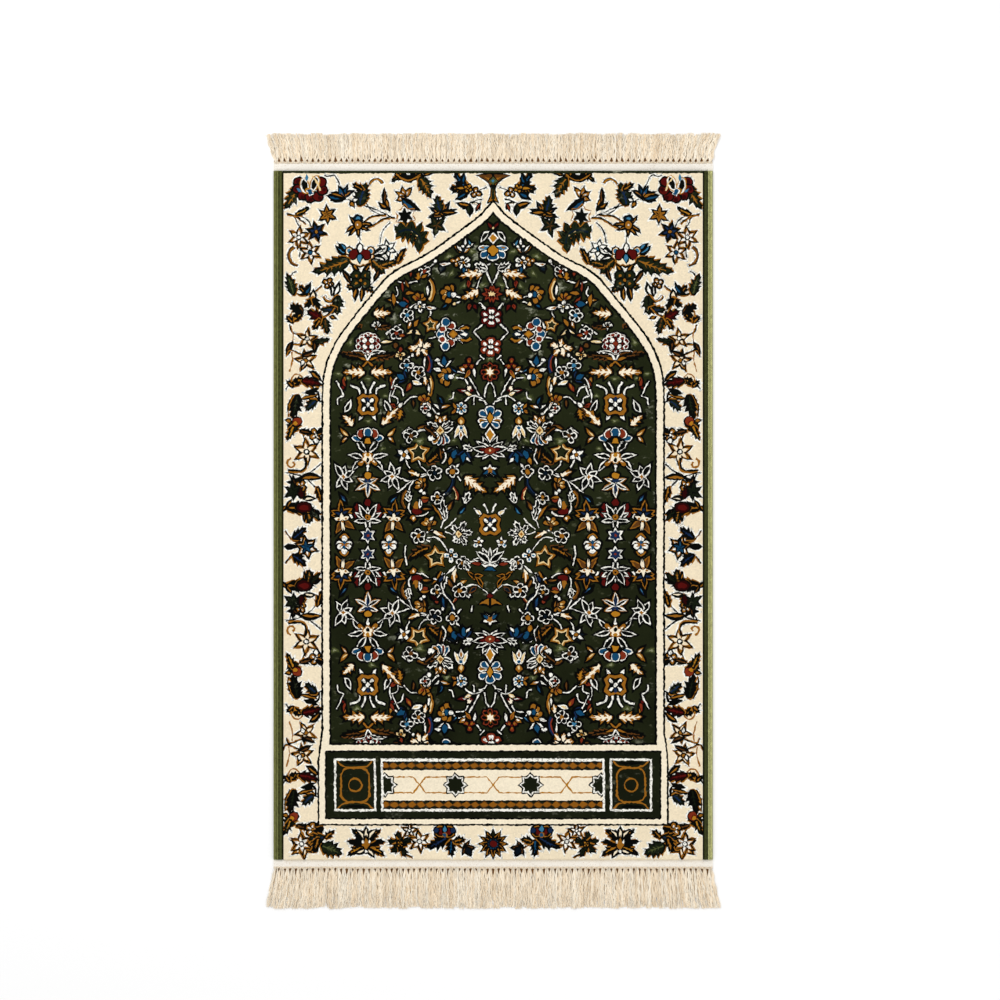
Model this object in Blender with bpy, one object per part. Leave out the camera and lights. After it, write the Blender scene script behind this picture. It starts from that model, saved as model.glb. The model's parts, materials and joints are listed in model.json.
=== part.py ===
# Prayer rug with ribbed side bindings and a woven fringe tape at each end, lying flat.
# Metres, +Z up. X runs across the rug and +Y points to its head end, where the arch is.
# The origin is on the floor under the centre of the whole rug, fringes included.

import math

import bmesh
import bpy

# Rug body
BODY_WIDTH = 0.700          # over both side bindings
BODY_LENGTH = 1.097         # knotted pile, without tapes and fringes
BODY_THICKNESS = 0.0090     # ground weave and cut pile together
PILE_EDGE_ROUND = 0.0030    # rounding of the pile along its top edges
PILE_EDGE_STEPS = 3

# Side bindings: cords overcast with yarn, side by side
BINDING_WIDTH = 0.0150
BINDING_BASE = 0.0028       # height at which the cords start to bulge from the flat underside
CORDS = (                   # from the outside in: share of the binding's width, height of the crest
    {"share": 0.30, "crest": 0.0062},
    {"share": 0.33, "crest": 0.0074},
    {"share": 0.37, "crest": 0.0080},
)
CORD_STEPS = 6              # flats on each cord's arc
CORD_VALLEY = 0.0016        # depth of the grooves between cords, below the lower crest

# Fringe tapes
TAPE_THICKNESS = 0.0026
TAPE_EDGE_ROUND = 0.0006

# Fringes: one comb at each end, a row of knots that carries a tassel each
TASSELS = 78
KNOT_LENGTH = 0.0085        # along the rug, from the tape to where the strands part
KNOT_SHARE = 0.76           # knot's width as a share of the spacing
CROWN_INSET = 0.28          # from the knot's side to its crown, as a share of its width
WEB_THICKNESS = 0.0014      # between the knots, where neighbours share a yarn
TASSEL_GAP = 0.0009         # between neighbouring tassels at their tips
CORNER_SPLAY = 0.0110       # sideways lean of the outermost tassel's tip
SPLAY_POWER = 5             # how fast the lean dies away towards the middle
TIP_UNEVEN = 0.0045         # most that a tassel falls short of its fringe's full length
RIDGE = (                   # height of the comb's top along a tassel, as a share of the way to its tip
    {"at": "tape", "height": 0.0026},
    {"at": "crest", "height": 0.0046},
    {"at": "parting", "height": 0.0032},
    {"at": "tip", "height": 0.0018},
)

ENDS = (
    {"name": "head", "side": 1, "tape": 0.0135, "fringe": 0.0450, "phase": 0.4},
    {"name": "foot", "side": -1, "tape": 0.0130, "fringe": 0.0640, "phase": 2.1},
)

GAP = 0.0003                # between neighbouring pieces

reach = {end["name"]: BODY_LENGTH / 2 + 2 * GAP + end["tape"] + end["fringe"] for end in ENDS}
BODY_CENTRE_Y = (reach["foot"] - reach["head"]) / 2


def clear_scene():
    for obj in list(bpy.data.objects):
        bpy.data.objects.remove(obj, do_unlink=True)


def yarn(name, colour, roughness):
    material = bpy.data.materials.new(name)
    material.use_nodes = True
    shader = material.node_tree.nodes["Principled BSDF"]
    shader.inputs["Base Color"].default_value = (*colour, 1.0)
    shader.inputs["Roughness"].default_value = roughness
    shader.inputs["Metallic"].default_value = 0.0
    return material


def add_object(name, shape, material, smooth=False):
    bmesh.ops.recalc_face_normals(shape, faces=shape.faces)
    mesh = bpy.data.meshes.new(name)
    shape.to_mesh(mesh)
    shape.free()
    mesh.materials.append(material)
    if smooth:
        mesh.shade_smooth()
        mesh.set_sharp_from_angle(angle=math.radians(40))
    obj = bpy.data.objects.new(name, mesh)
    bpy.context.scene.collection.objects.link(obj)
    return obj


def slab(low, high):
    """A block between two corners."""
    shape = bmesh.new()
    bmesh.ops.create_cube(shape, size=1.0)
    for vertex in shape.verts:
        vertex.co = [a + (b - a) * (c + 0.5) for a, b, c in zip(low, high, vertex.co)]
    return shape


def round_top_edges(shape, radius, steps):
    top = max(vertex.co.z for vertex in shape.verts)
    edges = [edge for edge in shape.edges if all(v.co.z == top for v in edge.verts)]
    bmesh.ops.bevel(shape, geom=edges, offset=radius, segments=steps, profile=0.5, affect="EDGES")


def make_body(material):
    half_width = BODY_WIDTH / 2 - BINDING_WIDTH - GAP
    half_length = BODY_LENGTH / 2
    shape = slab(
        (-half_width, BODY_CENTRE_Y - half_length, 0.0),
        (half_width, BODY_CENTRE_Y + half_length, BODY_THICKNESS),
    )
    round_top_edges(shape, PILE_EDGE_ROUND, PILE_EDGE_STEPS)
    return add_object("woven_rug", shape, material, smooth=True)


def binding_profile():
    """Points (across, up) over the cords, from the outer foot to the inner one."""
    points = [(0.0, 0.0), (0.0, BINDING_BASE)]
    start = 0.0
    for index, cord in enumerate(CORDS):
        width = cord["share"] * BINDING_WIDTH
        last = index == len(CORDS) - 1
        left = points[-1][1]
        right = BINDING_BASE if last else min(cord["crest"], CORDS[index + 1]["crest"]) - CORD_VALLEY
        for step in range(1, CORD_STEPS + 1):
            turn = math.pi * step / CORD_STEPS
            foot = left if turn < math.pi / 2 else right
            points.append((
                start + width * (1 - math.cos(turn)) / 2,
                foot + (cord["crest"] - foot) * math.sin(turn),
            ))
        start += width
    points.append((BINDING_WIDTH, 0.0))
    return points


def make_binding(name, side, material):
    """The profile drawn out along the rug's side."""
    shape = bmesh.new()
    ends = []
    for y in (BODY_CENTRE_Y - BODY_LENGTH / 2, BODY_CENTRE_Y + BODY_LENGTH / 2):
        ring = [
            shape.verts.new((side * (BODY_WIDTH / 2 - across), y, up))
            for across, up in binding_profile()
        ]
        shape.faces.new(ring)
        ends.append(ring)
    count = len(ends[0])
    for i in range(count):
        j = (i + 1) % count
        shape.faces.new((ends[0][i], ends[0][j], ends[1][j], ends[1][i]))
    return add_object(name, shape, material, smooth=True)


def make_tape(end, material):
    inner = BODY_LENGTH / 2 + GAP
    outer = inner + end["tape"]
    ys = sorted(BODY_CENTRE_Y + end["side"] * y for y in (inner, outer))
    shape = slab((-BODY_WIDTH / 2, ys[0], 0.0), (BODY_WIDTH / 2, ys[1], TAPE_THICKNESS))
    round_top_edges(shape, TAPE_EDGE_ROUND, 1)
    return add_object("fringe_tape_" + end["name"], shape, material)


def splayed(x):
    """Where a point of the fringe's tip line lies, after the lean of the corner tassels."""
    return x + CORNER_SPLAY * math.copysign(abs(2 * x / BODY_WIDTH) ** SPLAY_POWER, x)


def shortfall(index, phase):
    """How far a tip falls short, 0 to 1: a slow wave and a quick, uneven one. The first is at full length."""
    slow = 1 - math.cos(0.23 * index)
    quick = 1 - math.cos(2.4 * index + phase * math.sin(index))
    return 0.3 * slow + 0.2 * quick


def tassel_edges(index, end):
    """The tassel's left and right x and its distance from the tape, at each row of RIDGE."""
    spacing = BODY_WIDTH / TASSELS
    middle = -BODY_WIDTH / 2 + (index + 0.5) * spacing
    knot = KNOT_SHARE * spacing / 2
    tip_left = splayed(middle - spacing / 2) + TASSEL_GAP / 2
    tip_right = splayed(middle + spacing / 2) - TASSEL_GAP / 2
    length = end["fringe"] - TIP_UNEVEN * shortfall(index, end["phase"])
    return {
        "tape": (middle - knot, middle + knot, 0.0),
        "crest": (middle - knot, middle + knot, KNOT_LENGTH / 2),
        "parting": (middle - knot, middle + knot, KNOT_LENGTH),
        "tip": (tip_left, tip_right, length),
    }


def bridge(shape, first, second):
    """Faces between two columns of points. Where both columns end in one point, the last is a triangle."""
    for a, b, c, d in zip(first, second, second[1:], first[1:]):
        shape.faces.new(list(dict.fromkeys((a, b, c, d))))


def add_tassel(shape, index, end):
    """The knot, its crown and the strands. Returns the columns along its left and right sides."""
    tape_edge = BODY_LENGTH / 2 + 2 * GAP + end["tape"]
    columns = {"left_low": [], "left_high": [], "left_crown": [],
               "right_crown": [], "right_high": [], "right_low": []}
    edges = tassel_edges(index, end)
    for row in RIDGE:
        left, right, along = edges[row["at"]]
        y = BODY_CENTRE_Y + end["side"] * (tape_edge + along)
        is_tip = row["at"] == "tip"
        shoulder = row["height"] if is_tip else WEB_THICKNESS
        columns["left_low"].append(shape.verts.new((left, y, 0.0)))
        columns["right_low"].append(shape.verts.new((right, y, 0.0)))
        columns["left_high"].append(shape.verts.new((left, y, shoulder)))
        columns["right_high"].append(shape.verts.new((right, y, shoulder)))
        if is_tip:                  # the knot's crown runs out into the flat end of the strands
            columns["left_crown"].append(columns["left_high"][-1])
            columns["right_crown"].append(columns["right_high"][-1])
        else:
            inset = CROWN_INSET * (right - left)
            columns["left_crown"].append(shape.verts.new((left + inset, y, row["height"])))
            columns["right_crown"].append(shape.verts.new((right - inset, y, row["height"])))
    around = ("left_low", "left_high", "left_crown", "right_crown", "right_high", "right_low")
    for first, second in zip(around[1:], around[2:-1]):
        bridge(shape, columns[first], columns[second])
    bridge(shape, columns["right_low"], columns["left_low"])
    shape.faces.new([columns[name][0] for name in around])
    shape.faces.new([columns[name][-1] for name in ("left_low", "left_high", "right_high", "right_low")])
    left_side = (columns["left_low"], columns["left_high"])
    right_side = (columns["right_low"], columns["right_high"])
    return left_side, right_side


def add_web(shape, right_side, left_side):
    """What joins one tassel's knot to the next, and the free flanks of the strands beyond it."""
    joined = len(RIDGE) - 1
    for first, second in zip(right_side, left_side):
        bridge(shape, first[:joined], second[:joined])
    for row in (0, joined - 1):
        shape.faces.new((right_side[0][row], left_side[0][row], left_side[1][row], right_side[1][row]))
    for low, high in (right_side, left_side):
        bridge(shape, low[joined - 1:], high[joined - 1:])


def make_fringe(end, material):
    """A comb: tassels side by side, joined by a web between their knots."""
    shape = bmesh.new()
    first_side, last_side = add_tassel(shape, 0, end)
    bridge(shape, *first_side)
    for index in range(1, TASSELS):
        left_side, right_side = add_tassel(shape, index, end)
        add_web(shape, last_side, left_side)
        last_side = right_side
    bridge(shape, *last_side)
    return add_object("fringe_" + end["name"], shape, material)


def main():
    clear_scene()
    pile_yarn = yarn("pile_yarn", (0.020, 0.035, 0.012), 0.95)
    binding_yarn = yarn("binding_yarn", (0.095, 0.125, 0.045), 0.80)
    tape_cotton = yarn("tape_cotton", (0.820, 0.760, 0.680), 0.90)
    fringe_cotton = yarn("fringe_cotton", (0.800, 0.700, 0.550), 0.90)
    make_body(pile_yarn)
    make_binding("binding_left", -1, binding_yarn)
    make_binding("binding_right", 1, binding_yarn)
    for end in ENDS:
        make_tape(end, tape_cotton)
        make_fringe(end, fringe_cotton)


main()
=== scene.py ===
import json
import math

import bmesh
import bpy
import numpy as np
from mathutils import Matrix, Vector, noise
from mathutils.geometry import delaunay_2d_cdt

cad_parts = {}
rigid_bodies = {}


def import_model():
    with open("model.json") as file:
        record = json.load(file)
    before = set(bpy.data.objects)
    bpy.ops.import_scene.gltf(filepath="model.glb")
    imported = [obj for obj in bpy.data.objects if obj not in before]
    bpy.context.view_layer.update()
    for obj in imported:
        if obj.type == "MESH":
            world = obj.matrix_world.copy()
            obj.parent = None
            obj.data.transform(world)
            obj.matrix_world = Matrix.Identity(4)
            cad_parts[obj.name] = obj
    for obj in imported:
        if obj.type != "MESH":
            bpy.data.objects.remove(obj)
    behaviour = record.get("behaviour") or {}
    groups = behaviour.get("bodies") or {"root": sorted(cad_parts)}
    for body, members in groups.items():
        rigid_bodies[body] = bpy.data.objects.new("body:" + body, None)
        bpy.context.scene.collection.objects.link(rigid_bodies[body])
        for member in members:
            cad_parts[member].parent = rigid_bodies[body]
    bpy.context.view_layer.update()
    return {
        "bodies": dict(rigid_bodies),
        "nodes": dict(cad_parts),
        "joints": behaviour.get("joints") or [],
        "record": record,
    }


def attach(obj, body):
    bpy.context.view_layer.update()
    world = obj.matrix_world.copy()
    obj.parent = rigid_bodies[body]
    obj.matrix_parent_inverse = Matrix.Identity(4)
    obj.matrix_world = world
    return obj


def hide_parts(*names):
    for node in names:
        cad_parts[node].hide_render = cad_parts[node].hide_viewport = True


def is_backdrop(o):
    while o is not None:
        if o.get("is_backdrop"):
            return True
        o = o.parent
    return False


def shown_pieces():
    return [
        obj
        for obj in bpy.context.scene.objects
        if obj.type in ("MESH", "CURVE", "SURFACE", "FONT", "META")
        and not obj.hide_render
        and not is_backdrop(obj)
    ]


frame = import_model()
mm = 0.001
noise.seed_set(7)  # without a seed of its own, vector noise differs from run to run

view = {"lens": 85, "height": 3.765, "aimX": 0.0109, "aimY": 0.0335}
light = {"sky": 0.72, "key": 40.0, "keySize": 2.2, "fill": 16.0}
rug = {"centreY": 9.25, "halfWide": 334.7, "halfLong": 548.5, "thick": 9.0, "edgeRound": 3.0, "heave": 0.25}


def addCamera():
    data = bpy.data.cameras.new("camera")
    data.lens, data.sensor_width = view["lens"], 36
    camera = bpy.data.objects.new("camera", data)
    camera.location = (view["aimX"], view["aimY"], view["height"])
    bpy.context.scene.collection.objects.link(camera)
    bpy.context.scene.camera = camera


def addLight(name, energy, size, place, aim=(0, 0, 0)):
    data = bpy.data.lights.new(name, "AREA")
    data.energy, data.shape, data.size = energy, "DISK", size
    lamp = bpy.data.objects.new(name, data)
    lamp.location = place
    lamp.rotation_euler = (Vector(aim) - Vector(place)).to_track_quat("-Z", "Y").to_euler()
    bpy.context.scene.collection.objects.link(lamp)


class Wire:
    # a node's output, so that sums and products of values read as plain expressions
    def __init__(self, graph, socket):
        self.graph, self.socket = graph, socket

    def __add__(self, other):
        return self.graph.maths("ADD", self, other)

    def __radd__(self, other):
        return self.graph.maths("ADD", other, self)

    def __sub__(self, other):
        return self.graph.maths("SUBTRACT", self, other)

    def __rsub__(self, other):
        return self.graph.maths("SUBTRACT", other, self)

    def __mul__(self, other):
        return self.graph.maths("MULTIPLY", self, other)

    def __rmul__(self, other):
        return self.graph.maths("MULTIPLY", other, self)

    def __truediv__(self, other):
        return self.graph.maths("DIVIDE", self, other)

    def __pow__(self, other):
        return self.graph.maths("POWER", self, other)


class Graph:
    # builds nodes in one tree, for materials and for Geometry Nodes alike
    def __init__(self, tree):
        self.tree = tree

    def node(self, kind, inputs=None, settings=None):
        made = self.tree.nodes.new(kind)
        for name, value in (settings or {}).items():
            setattr(made, name, value)
        for key, value in (inputs or {}).items():
            if isinstance(value, Wire):
                self.tree.links.new(value.socket, made.inputs[key])
            else:
                made.inputs[key].default_value = value
        return made

    def make(self, kind, inputs=None, settings=None, output=0):
        return Wire(self, self.node(kind, inputs, settings).outputs[output])

    def maths(self, operation, first, second=0.0):
        return self.make("ShaderNodeMath", {0: first, 1: second}, {"operation": operation})

    def scaled(self, vector, by):
        return self.make("ShaderNodeVectorMath", {0: vector, "Scale": by}, {"operation": "SCALE"})

    def parts(self, vector):
        made = self.node("ShaderNodeSeparateXYZ", {0: vector})
        return [Wire(self, socket) for socket in made.outputs]

    def joined(self, x, y, z):
        return self.make("ShaderNodeCombineXYZ", {0: x, 1: y, 2: z})

    def ramp(self, value, low, high):
        # 0 below low, 1 above high, eased between
        return self.make("ShaderNodeMapRange", {0: value, 1: low, 2: high},
            {"interpolation_type": "SMOOTHSTEP"})

    def mix(self, share, first, second):
        return self.make("ShaderNodeMix", {0: share, 6: first, 7: second}, {"data_type": "RGBA"}, 2)

    def cloud(self, vector, scale, detail=2.0, rough=0.5):
        sizes = {"Vector": vector, "Scale": scale, "Detail": detail, "Roughness": rough}
        return self.make("ShaderNodeTexNoise", sizes)

    def white(self, dimensions, place):
        # an even random number for each place
        socket = "W" if dimensions == "1D" else "Vector"
        return self.make("ShaderNodeTexWhiteNoise", {socket: place}, {"noise_dimensions": dimensions})


def linear(colour, share=1.0):
    # red, green and blue out of 255 as the light they stand for
    values = [c / 255 for c in colour]
    values = [v / 12.92 if v <= 0.04045 else ((v + 0.055) / 1.055) ** 2.4 for v in values]
    return (*[v * share for v in values], 1.0)


yarns = {  # dyed pile colours, as red, green and blue out of 255
    "ivory": (244, 228, 197),
    "cream": (249, 236, 209),
    "white": (250, 248, 238),
    "moss": (39, 44, 23),
    "bottle": (27, 35, 19),
    "shade": (33, 38, 21),
    "fern": (52, 58, 32),
    "olive": (74, 80, 44),
    "sage": (132, 134, 102),
    "ink": (9, 11, 8),
    "night": (12, 26, 38),
    "navy": (20, 40, 72),
    "blue": (19, 70, 104),
    "sky": (58, 118, 152),
    "ochre": (152, 98, 28),
    "gold": (178, 120, 30),
    "amber": (142, 88, 22),
    "straw": (232, 203, 146),
    "rust": (92, 56, 22),
    "brick": (124, 46, 24),
    "red": (84, 15, 12),
    "wine": (48, 7, 7),
}
(ivory, cream, white, moss, bottle, shade, fern, olive, sage, ink, night, navy, blue, sky, ochre, gold, amber,
    straw, rust, brick, red, wine) = yarns


def disc(radius, tall=None, x=0.0, y=0.0, count=9):
    turns = [2 * math.pi * k / count for k in range(count)]
    return [(x + radius * math.cos(a), y + (tall or radius) * math.sin(a)) for a in turns]


def star(count, radius, inner, turn=0.0):
    outline = []
    for k in range(2 * count):
        a = math.pi * k / count + math.radians(turn) + math.pi / 2
        r = inner if k % 2 else radius
        outline.append((r * math.cos(a), r * math.sin(a)))
    return outline


def scallop(count, radius, dent, turn=0.0, squash=1.0):
    outline = []
    for k in range(3 * count):
        a = 2 * math.pi * k / (3 * count) + math.radians(turn)
        r = radius - dent if k % 3 == 0 else radius
        outline.append((r * math.cos(a), squash * r * math.sin(a)))
    return outline


def leaf(length, width, bend=0.0, steps=4, belly=0.8):
    rows = [k / steps for k in range(steps + 1)]
    half = [width / 2 * math.sin(math.pi * t**belly) for t in rows]
    right = [(bend * t * t + h, length * t) for t, h in zip(rows, half)]
    left = [(bend * t * t - h, length * t) for t, h in zip(rows, half)]
    return right + left[-2:0:-1]


def petal(length, width, bend=0.0):
    rows = ((0, 0.10), (0.35, 0.38), (0.7, 0.5), (0.92, 0.34), (1, 0.0), (0.92, -0.34), (0.7, -0.5),
            (0.35, -0.38), (0, -0.10))
    return [(bend * t * t + width * w, length * t) for t, w in rows]


def toothed(length, width, teeth=4, bend=0.0, cut=0.6, belly=0.75):
    # a flame-edged leaf: every tooth leans towards the tip
    sides = []
    for side in (1, -1):
        row = [(0.6 * side, 0)]
        for k in range(teeth):
            t, u = (k + 0.2 + 0.14 * side) / (teeth + 0.4), (k + 0.95 + 0.08 * side) / (teeth + 0.4)
            inner = width / 2 * math.sin(math.pi * (t + 0.1) ** belly) * (1 - cut)
            outer = width / 2 * math.sin(math.pi * (u - 0.04) ** belly) + 0.8
            row += [(bend * t * t + side * inner, length * t), (bend * u * u + side * outer, length * u)]
            t = u - 0.04
            row.append((bend * t * t + side * (inner + 0.45 * (outer - inner)), length * (t + 0.02)))
        sides.append(row)
    return sides[0] + [(bend, length)] + sides[1][::-1]


def ribbon(points, width, tip=1.0, steps=3):
    points = np.reshape(points, (-1, 2))
    ends = [2 * np.array(points[0], float) - points[1], *map(np.array, points),
        2 * np.array(points[-1], float) - points[-2]]
    line = []
    for a, b, c, d in zip(ends, ends[1:], ends[2:], ends[3:]):
        for k in range(steps):
            t = k / steps
            line.append(0.5 * (2 * b + (c - a) * t + (2 * a - 5 * b + 4 * c - d) * t**2
                + (3 * b - a - 3 * c + d) * t**3))
    line = np.array([*line, ends[-2]])
    along = np.gradient(line, axis=0)
    across = np.stack([along[:, 1], -along[:, 0]], 1) / np.linalg.norm(along, axis=1)[:, None]
    share = np.linspace(0, 1, len(line))
    half = (width / 2 * (1 + (tip - 1) * share))[:, None]
    return np.concatenate([line + across * half, (line - across * half)[::-1]])


def arcLine(radius, start, end, steps=6, squash=1.0, x=0.0, y=0.0):
    turns = [math.radians(start + (end - start) * k / steps) for k in range(steps + 1)]
    return [(x + radius * math.cos(a), y + squash * radius * math.sin(a)) for a in turns]


def grown(points, by):
    p = np.asarray(points, float)
    following = np.roll(p, -1, 0)
    turned = np.sign(np.sum(p[:, 0] * following[:, 1] - following[:, 0] * p[:, 1])) or 1
    along = following - p
    along /= np.maximum(np.linalg.norm(along, axis=1), 1e-9)[:, None]
    normal = np.stack([along[:, 1], -along[:, 0]], 1) * turned
    both = normal + np.roll(normal, 1, 0)
    reach = 2 / np.maximum(np.sum(both**2, 1), 0.75)
    return p + both * (reach * by)[:, None]


class Pen:
    # lays outlines in millimetres, later ones over earlier ones; a coat is (how far it grows, yarn)
    # every black outline also leaves a wider halo in the layer beneath
    def __init__(self, shapes, place=None, zone=None, under=None):
        self.shapes, self.zone, self.under = shapes, zone, under
        self.place = np.eye(3) if place is None else place
        self.scale = math.sqrt(abs(np.linalg.det(self.place[:2, :2])))

    def at(self, x=0.0, y=0.0, turn=0.0, size=1.0, flip=False):
        c, s = size * math.cos(math.radians(turn)), size * math.sin(math.radians(turn))
        step = np.array([[-c if flip else c, -s, x], [-s if flip else s, c, y], [0, 0, 1]])
        return Pen(self.shapes, self.place @ step, self.zone, self.under)

    def mirrored(self, y):
        step = np.array([[1, 0, 0], [0, -1, 2 * y], [0, 0, 1]])
        return Pen(self.shapes, self.place @ step, self.zone, self.under)

    def lay(self, points, *coats):
        points = np.asarray(points, float)
        for coat in coats:
            grow, yarn = (0, coat) if isinstance(coat, str) else coat
            if yarn == ink and self.under is not None:
                grow *= weights["inkShare"][self.zone]
                far, halo = weights["halo"][self.zone]
                self.under.append((self.placed(grown(points, (grow + far) / self.scale)), halo, self.zone))
            if grow > 0:
                outline = grown(points, grow / self.scale)
            else:
                middle = points.mean(0)
                outline = middle + (points - middle) * (1 + grow)
            self.shapes.append((self.placed(outline), yarn, self.zone))

    def placed(self, outline):
        return outline @ self.place[:2, :2].T + self.place[:2, 2]

    def round(self, count, turn=0.0, spread=360.0):
        step = spread / count if spread == 360 else spread / max(count - 1, 1)
        first = turn if spread == 360 else turn - spread / 2
        return [self.at(turn=first + step * k) for k in range(count)]


weights = {"inkShare": {None: 1.35, "field": 1.12}, "halo": {None: (2.0, white), "field": (1.6, ink)},
           "motif": {None: 0.89, "field": 1.0}}


def inked(yarn):
    return (1.9, ink), (0, yarn)


def lined(yarn):
    return (2.7, ink), (1.4, white), (0, yarn)


def place(pen, *rows):
    for draw, x, y, turn, *rest in rows:
        draw(pen.at(x, y, turn, weights["motif"][pen.zone] if x or y else 1.0), *rest)


def blades(pen, rows, *coats):
    # leaves from one foot, as (turn, length, width, bend); one coat goes over all before the next
    for coat in coats:
        for turn, long, wide, bend in rows:
            pen.at(turn=turn).lay(leaf(long, wide, bend), coat)


def pair(*rows):
    return [(side * turn, long, wide, -side * bend) for turn, long, wide, bend in rows for side in (1, -1)]


def dot(pen, size=2.6, yarn=white, rim=ink, tall=None):
    pen.lay(disc(size, tall, count=8), (1.3, rim), yarn)


def stem(pen, points, width=2.2, yarn=white, rim=None):
    if rim:
        pen.lay(ribbon(points, width + 2.6), rim)
    pen.lay(ribbon(points, width), yarn)


def vines(pen, lines, width=1.6, yarn=white):
    for line in lines:
        if yarn == white:
            pen.lay(ribbon(line, width + 2.6), ink)
        pen.lay(ribbon(line, width), yarn)


def twin(pen, points, width=2.0, shift=1.5):
    # a black stem with an ochre one close beside it
    pen.at(0.3, -shift).lay(ribbon(points, width + 0.7), ochre)
    pen.lay(ribbon(points, width), ink)


def blade(pen, length=12, width=4, bend=0.0, fill=white, heart=None, rim=ink):
    pen.lay(leaf(length, width, bend), (1.6, rim), fill)
    if heart:
        pen.at(y=length * 0.05).lay(leaf(length * 0.62, width * 0.46, bend * 0.45, 3), heart)


def hook(pen, length=16, width=6, bend=3, fill=ochre, heart=None):
    # a bent blade: dark, with its colour on one side
    pen.lay(leaf(length, width * 0.8, bend), (1.6, ink))
    wide = 0.36 if pen.zone is None else 0.52
    pen.at(x=width * 0.14, y=length * 0.08).lay(leaf(length * 0.84, width * wide, bend * 0.74), fill)
    if heart and pen.zone:
        pen.at(x=width * 0.1, y=length * 0.12).lay(leaf(length * 0.56, width * 0.26, bend * 0.42, 3), heart)


def starFlower(pen, radius=17, count=6, tip=ochre, heart=white, core=white, turn=0):
    for part in pen.round(count, turn):
        part.at(1.2, 0.4).lay(leaf(radius, radius * 0.38, radius * 0.07), (2.4, ochre))
    for part in pen.round(count, turn):
        part.lay(leaf(radius, radius * 0.38, radius * 0.07), (1.6, ink), tip)
    for part in pen.round(count, turn):
        part.at(y=1).lay(leaf(radius * 0.72, radius * 0.3, steps=3), heart)
    pen.lay(disc(radius * 0.19, count=7), (1.3, ink), core)


def darkLeaf(pen, length=16, width=9, teeth=3, bend=3, body=bottle, rib=ochre, rim=None):
    outline = toothed(length, width - 2, teeth, bend, 0.46 if pen.zone is None else 0.6)
    if pen.zone is None:
        body, rim = {ochre: bottle, rust: ink, blue: bottle, navy: ink, night: ink}.get(body, body), ochre
    if rim:
        pen.at(1.5, -1.2).lay(outline, (2.4, rim))
    pen.lay(outline, (1.7, ink), body)
    middle = [(bend * t * t, length * t) for t in (0.04, 0.3, 0.56, 0.84)]
    pen.lay(ribbon(middle, 2.6, 0.4), rib)
    for k in range(1, teeth):
        t = 0.1 + 0.66 * k / teeth
        for side in (-1, 1):
            vein = pen.at(bend * t * t, length * t, -46 * side)
            vein.lay([(-1, 0), (1, 0), (0, width * 0.27)], rib)


def frond(pen, length=14, width=12, fingers=1, bend=2, tip=ochre, heart=cream):
    # a cut leaf of pale-hearted fingers
    pen.lay(toothed(length, width, fingers, bend, 0.66, 0.66), (2.0, ink), tip)
    for k in range(fingers):
        for side in (-1, 1):
            t = 0.04 + 0.66 * (k + 0.2 + 0.14 * side) / fingers
            slope = math.degrees(math.atan2(2 * bend * t, length))
            vein = pen.at(bend * t * t, length * t, -(50 - 8 * k) * side - slope)
            vein.lay(leaf(width * (0.46 - 0.1 * k / fingers), 3.5, -1.6 * side, 3, 0.7), heart)
    pen.lay(ribbon([(bend * t * t, length * t) for t in (0.03, 0.3, 0.58, 0.9)], 4.2, 0.3), heart)


def acanthus(pen):
    # a dark leaf arched like a comma, with lobes along its back and fingers below
    spine = [(-151, 450), (-139, 454), (-127, 452), (-118, 444), (-115, 432)]
    lobes = [(-150, 452, 58, 9, 7, 3), (-147, 455, 24, 10, 8, 3), (-139, 456, 6, 12, 9, -3),
        (-130, 455, -14, 13, 9, -4), (-121, 451, -40, 14, 9, -4), (-116, 444, -70, 12, 9, -3),
        (-114, 437, -98, 9, 8, -2), (-148, 450, 122, 9, 6, -3), (-141, 451, 142, 12, 6, -4),
        (-133, 450, 150, 14, 6, -4), (-126, 447, 154, 15, 6, -4), (-120, 441, 164, 16, 7, -3),
        (-116, 434, 178, 14, 8, 2)]
    for shift, coat in ((1.3, (2.2, ochre)), (0, (1.0, ink)), (0, (0, bottle))):
        part = pen.at(shift, -shift)
        for x, y, turn, long, wide, bend in lobes:
            part.at(x, y, turn).lay(leaf(long, wide, bend), coat)
        part.lay(ribbon(spine, 11, 0.7), coat)
    pen.lay(ribbon(spine, 3.6, 0.4), night)
    for x, y, turn, long, wide, bend in lobes:
        pen.at(x, y, turn).lay(leaf(long * 0.7, 1.8, bend * 0.6, 3), ink)
    for x, y in ((-128, 450), (-120, 444)):
        pen.at(x, y, 60).lay(leaf(4, 1.6, steps=3), straw)


def curl(pen, radius=9, yarn=ochre, width=3.4, turns=0.9, body=None):
    steps = 9
    line = [(radius * (1 - 0.72 * k / steps) * math.cos(2 * math.pi * turns * k / steps),
        radius * (1 - 0.72 * k / steps) * math.sin(2 * math.pi * turns * k / steps))
        for k in range(steps + 1)]
    if body:
        pen.lay(disc(radius * 0.9), body)
    if yarn != ochre:
        pen.lay(ribbon(line, width + 2.6, 0.8, 2), ink)
    pen.lay(ribbon(line, width, 0.9, 2), yarn)


def scrollLeaf(pen, radius=13):
    # an ochre curl with dark leaves in its eye and on its back
    curl(pen, radius, ochre, 2.8, 1.2, ivory)
    darkLeaf(pen.at(-radius * 0.6, -radius * 0.5, -64), radius * 1.3, radius * 0.8, 3, 2, rust, gold)
    darkLeaf(pen.at(-radius * 0.9, -radius * 0.7, 12), radius * 0.9, 7, 2, -2, ink)
    dot(pen.at(-1, 0), 2.6, ink)


def bud(pen, size=15, fill=blue, sepal=rust):
    blades(pen, pair((40, size * 0.95, size * 0.34, 3)), *inked(sepal))
    pen.at(y=size * 0.14).lay(leaf(size, size * 0.6, steps=3), *inked(fill))


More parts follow.
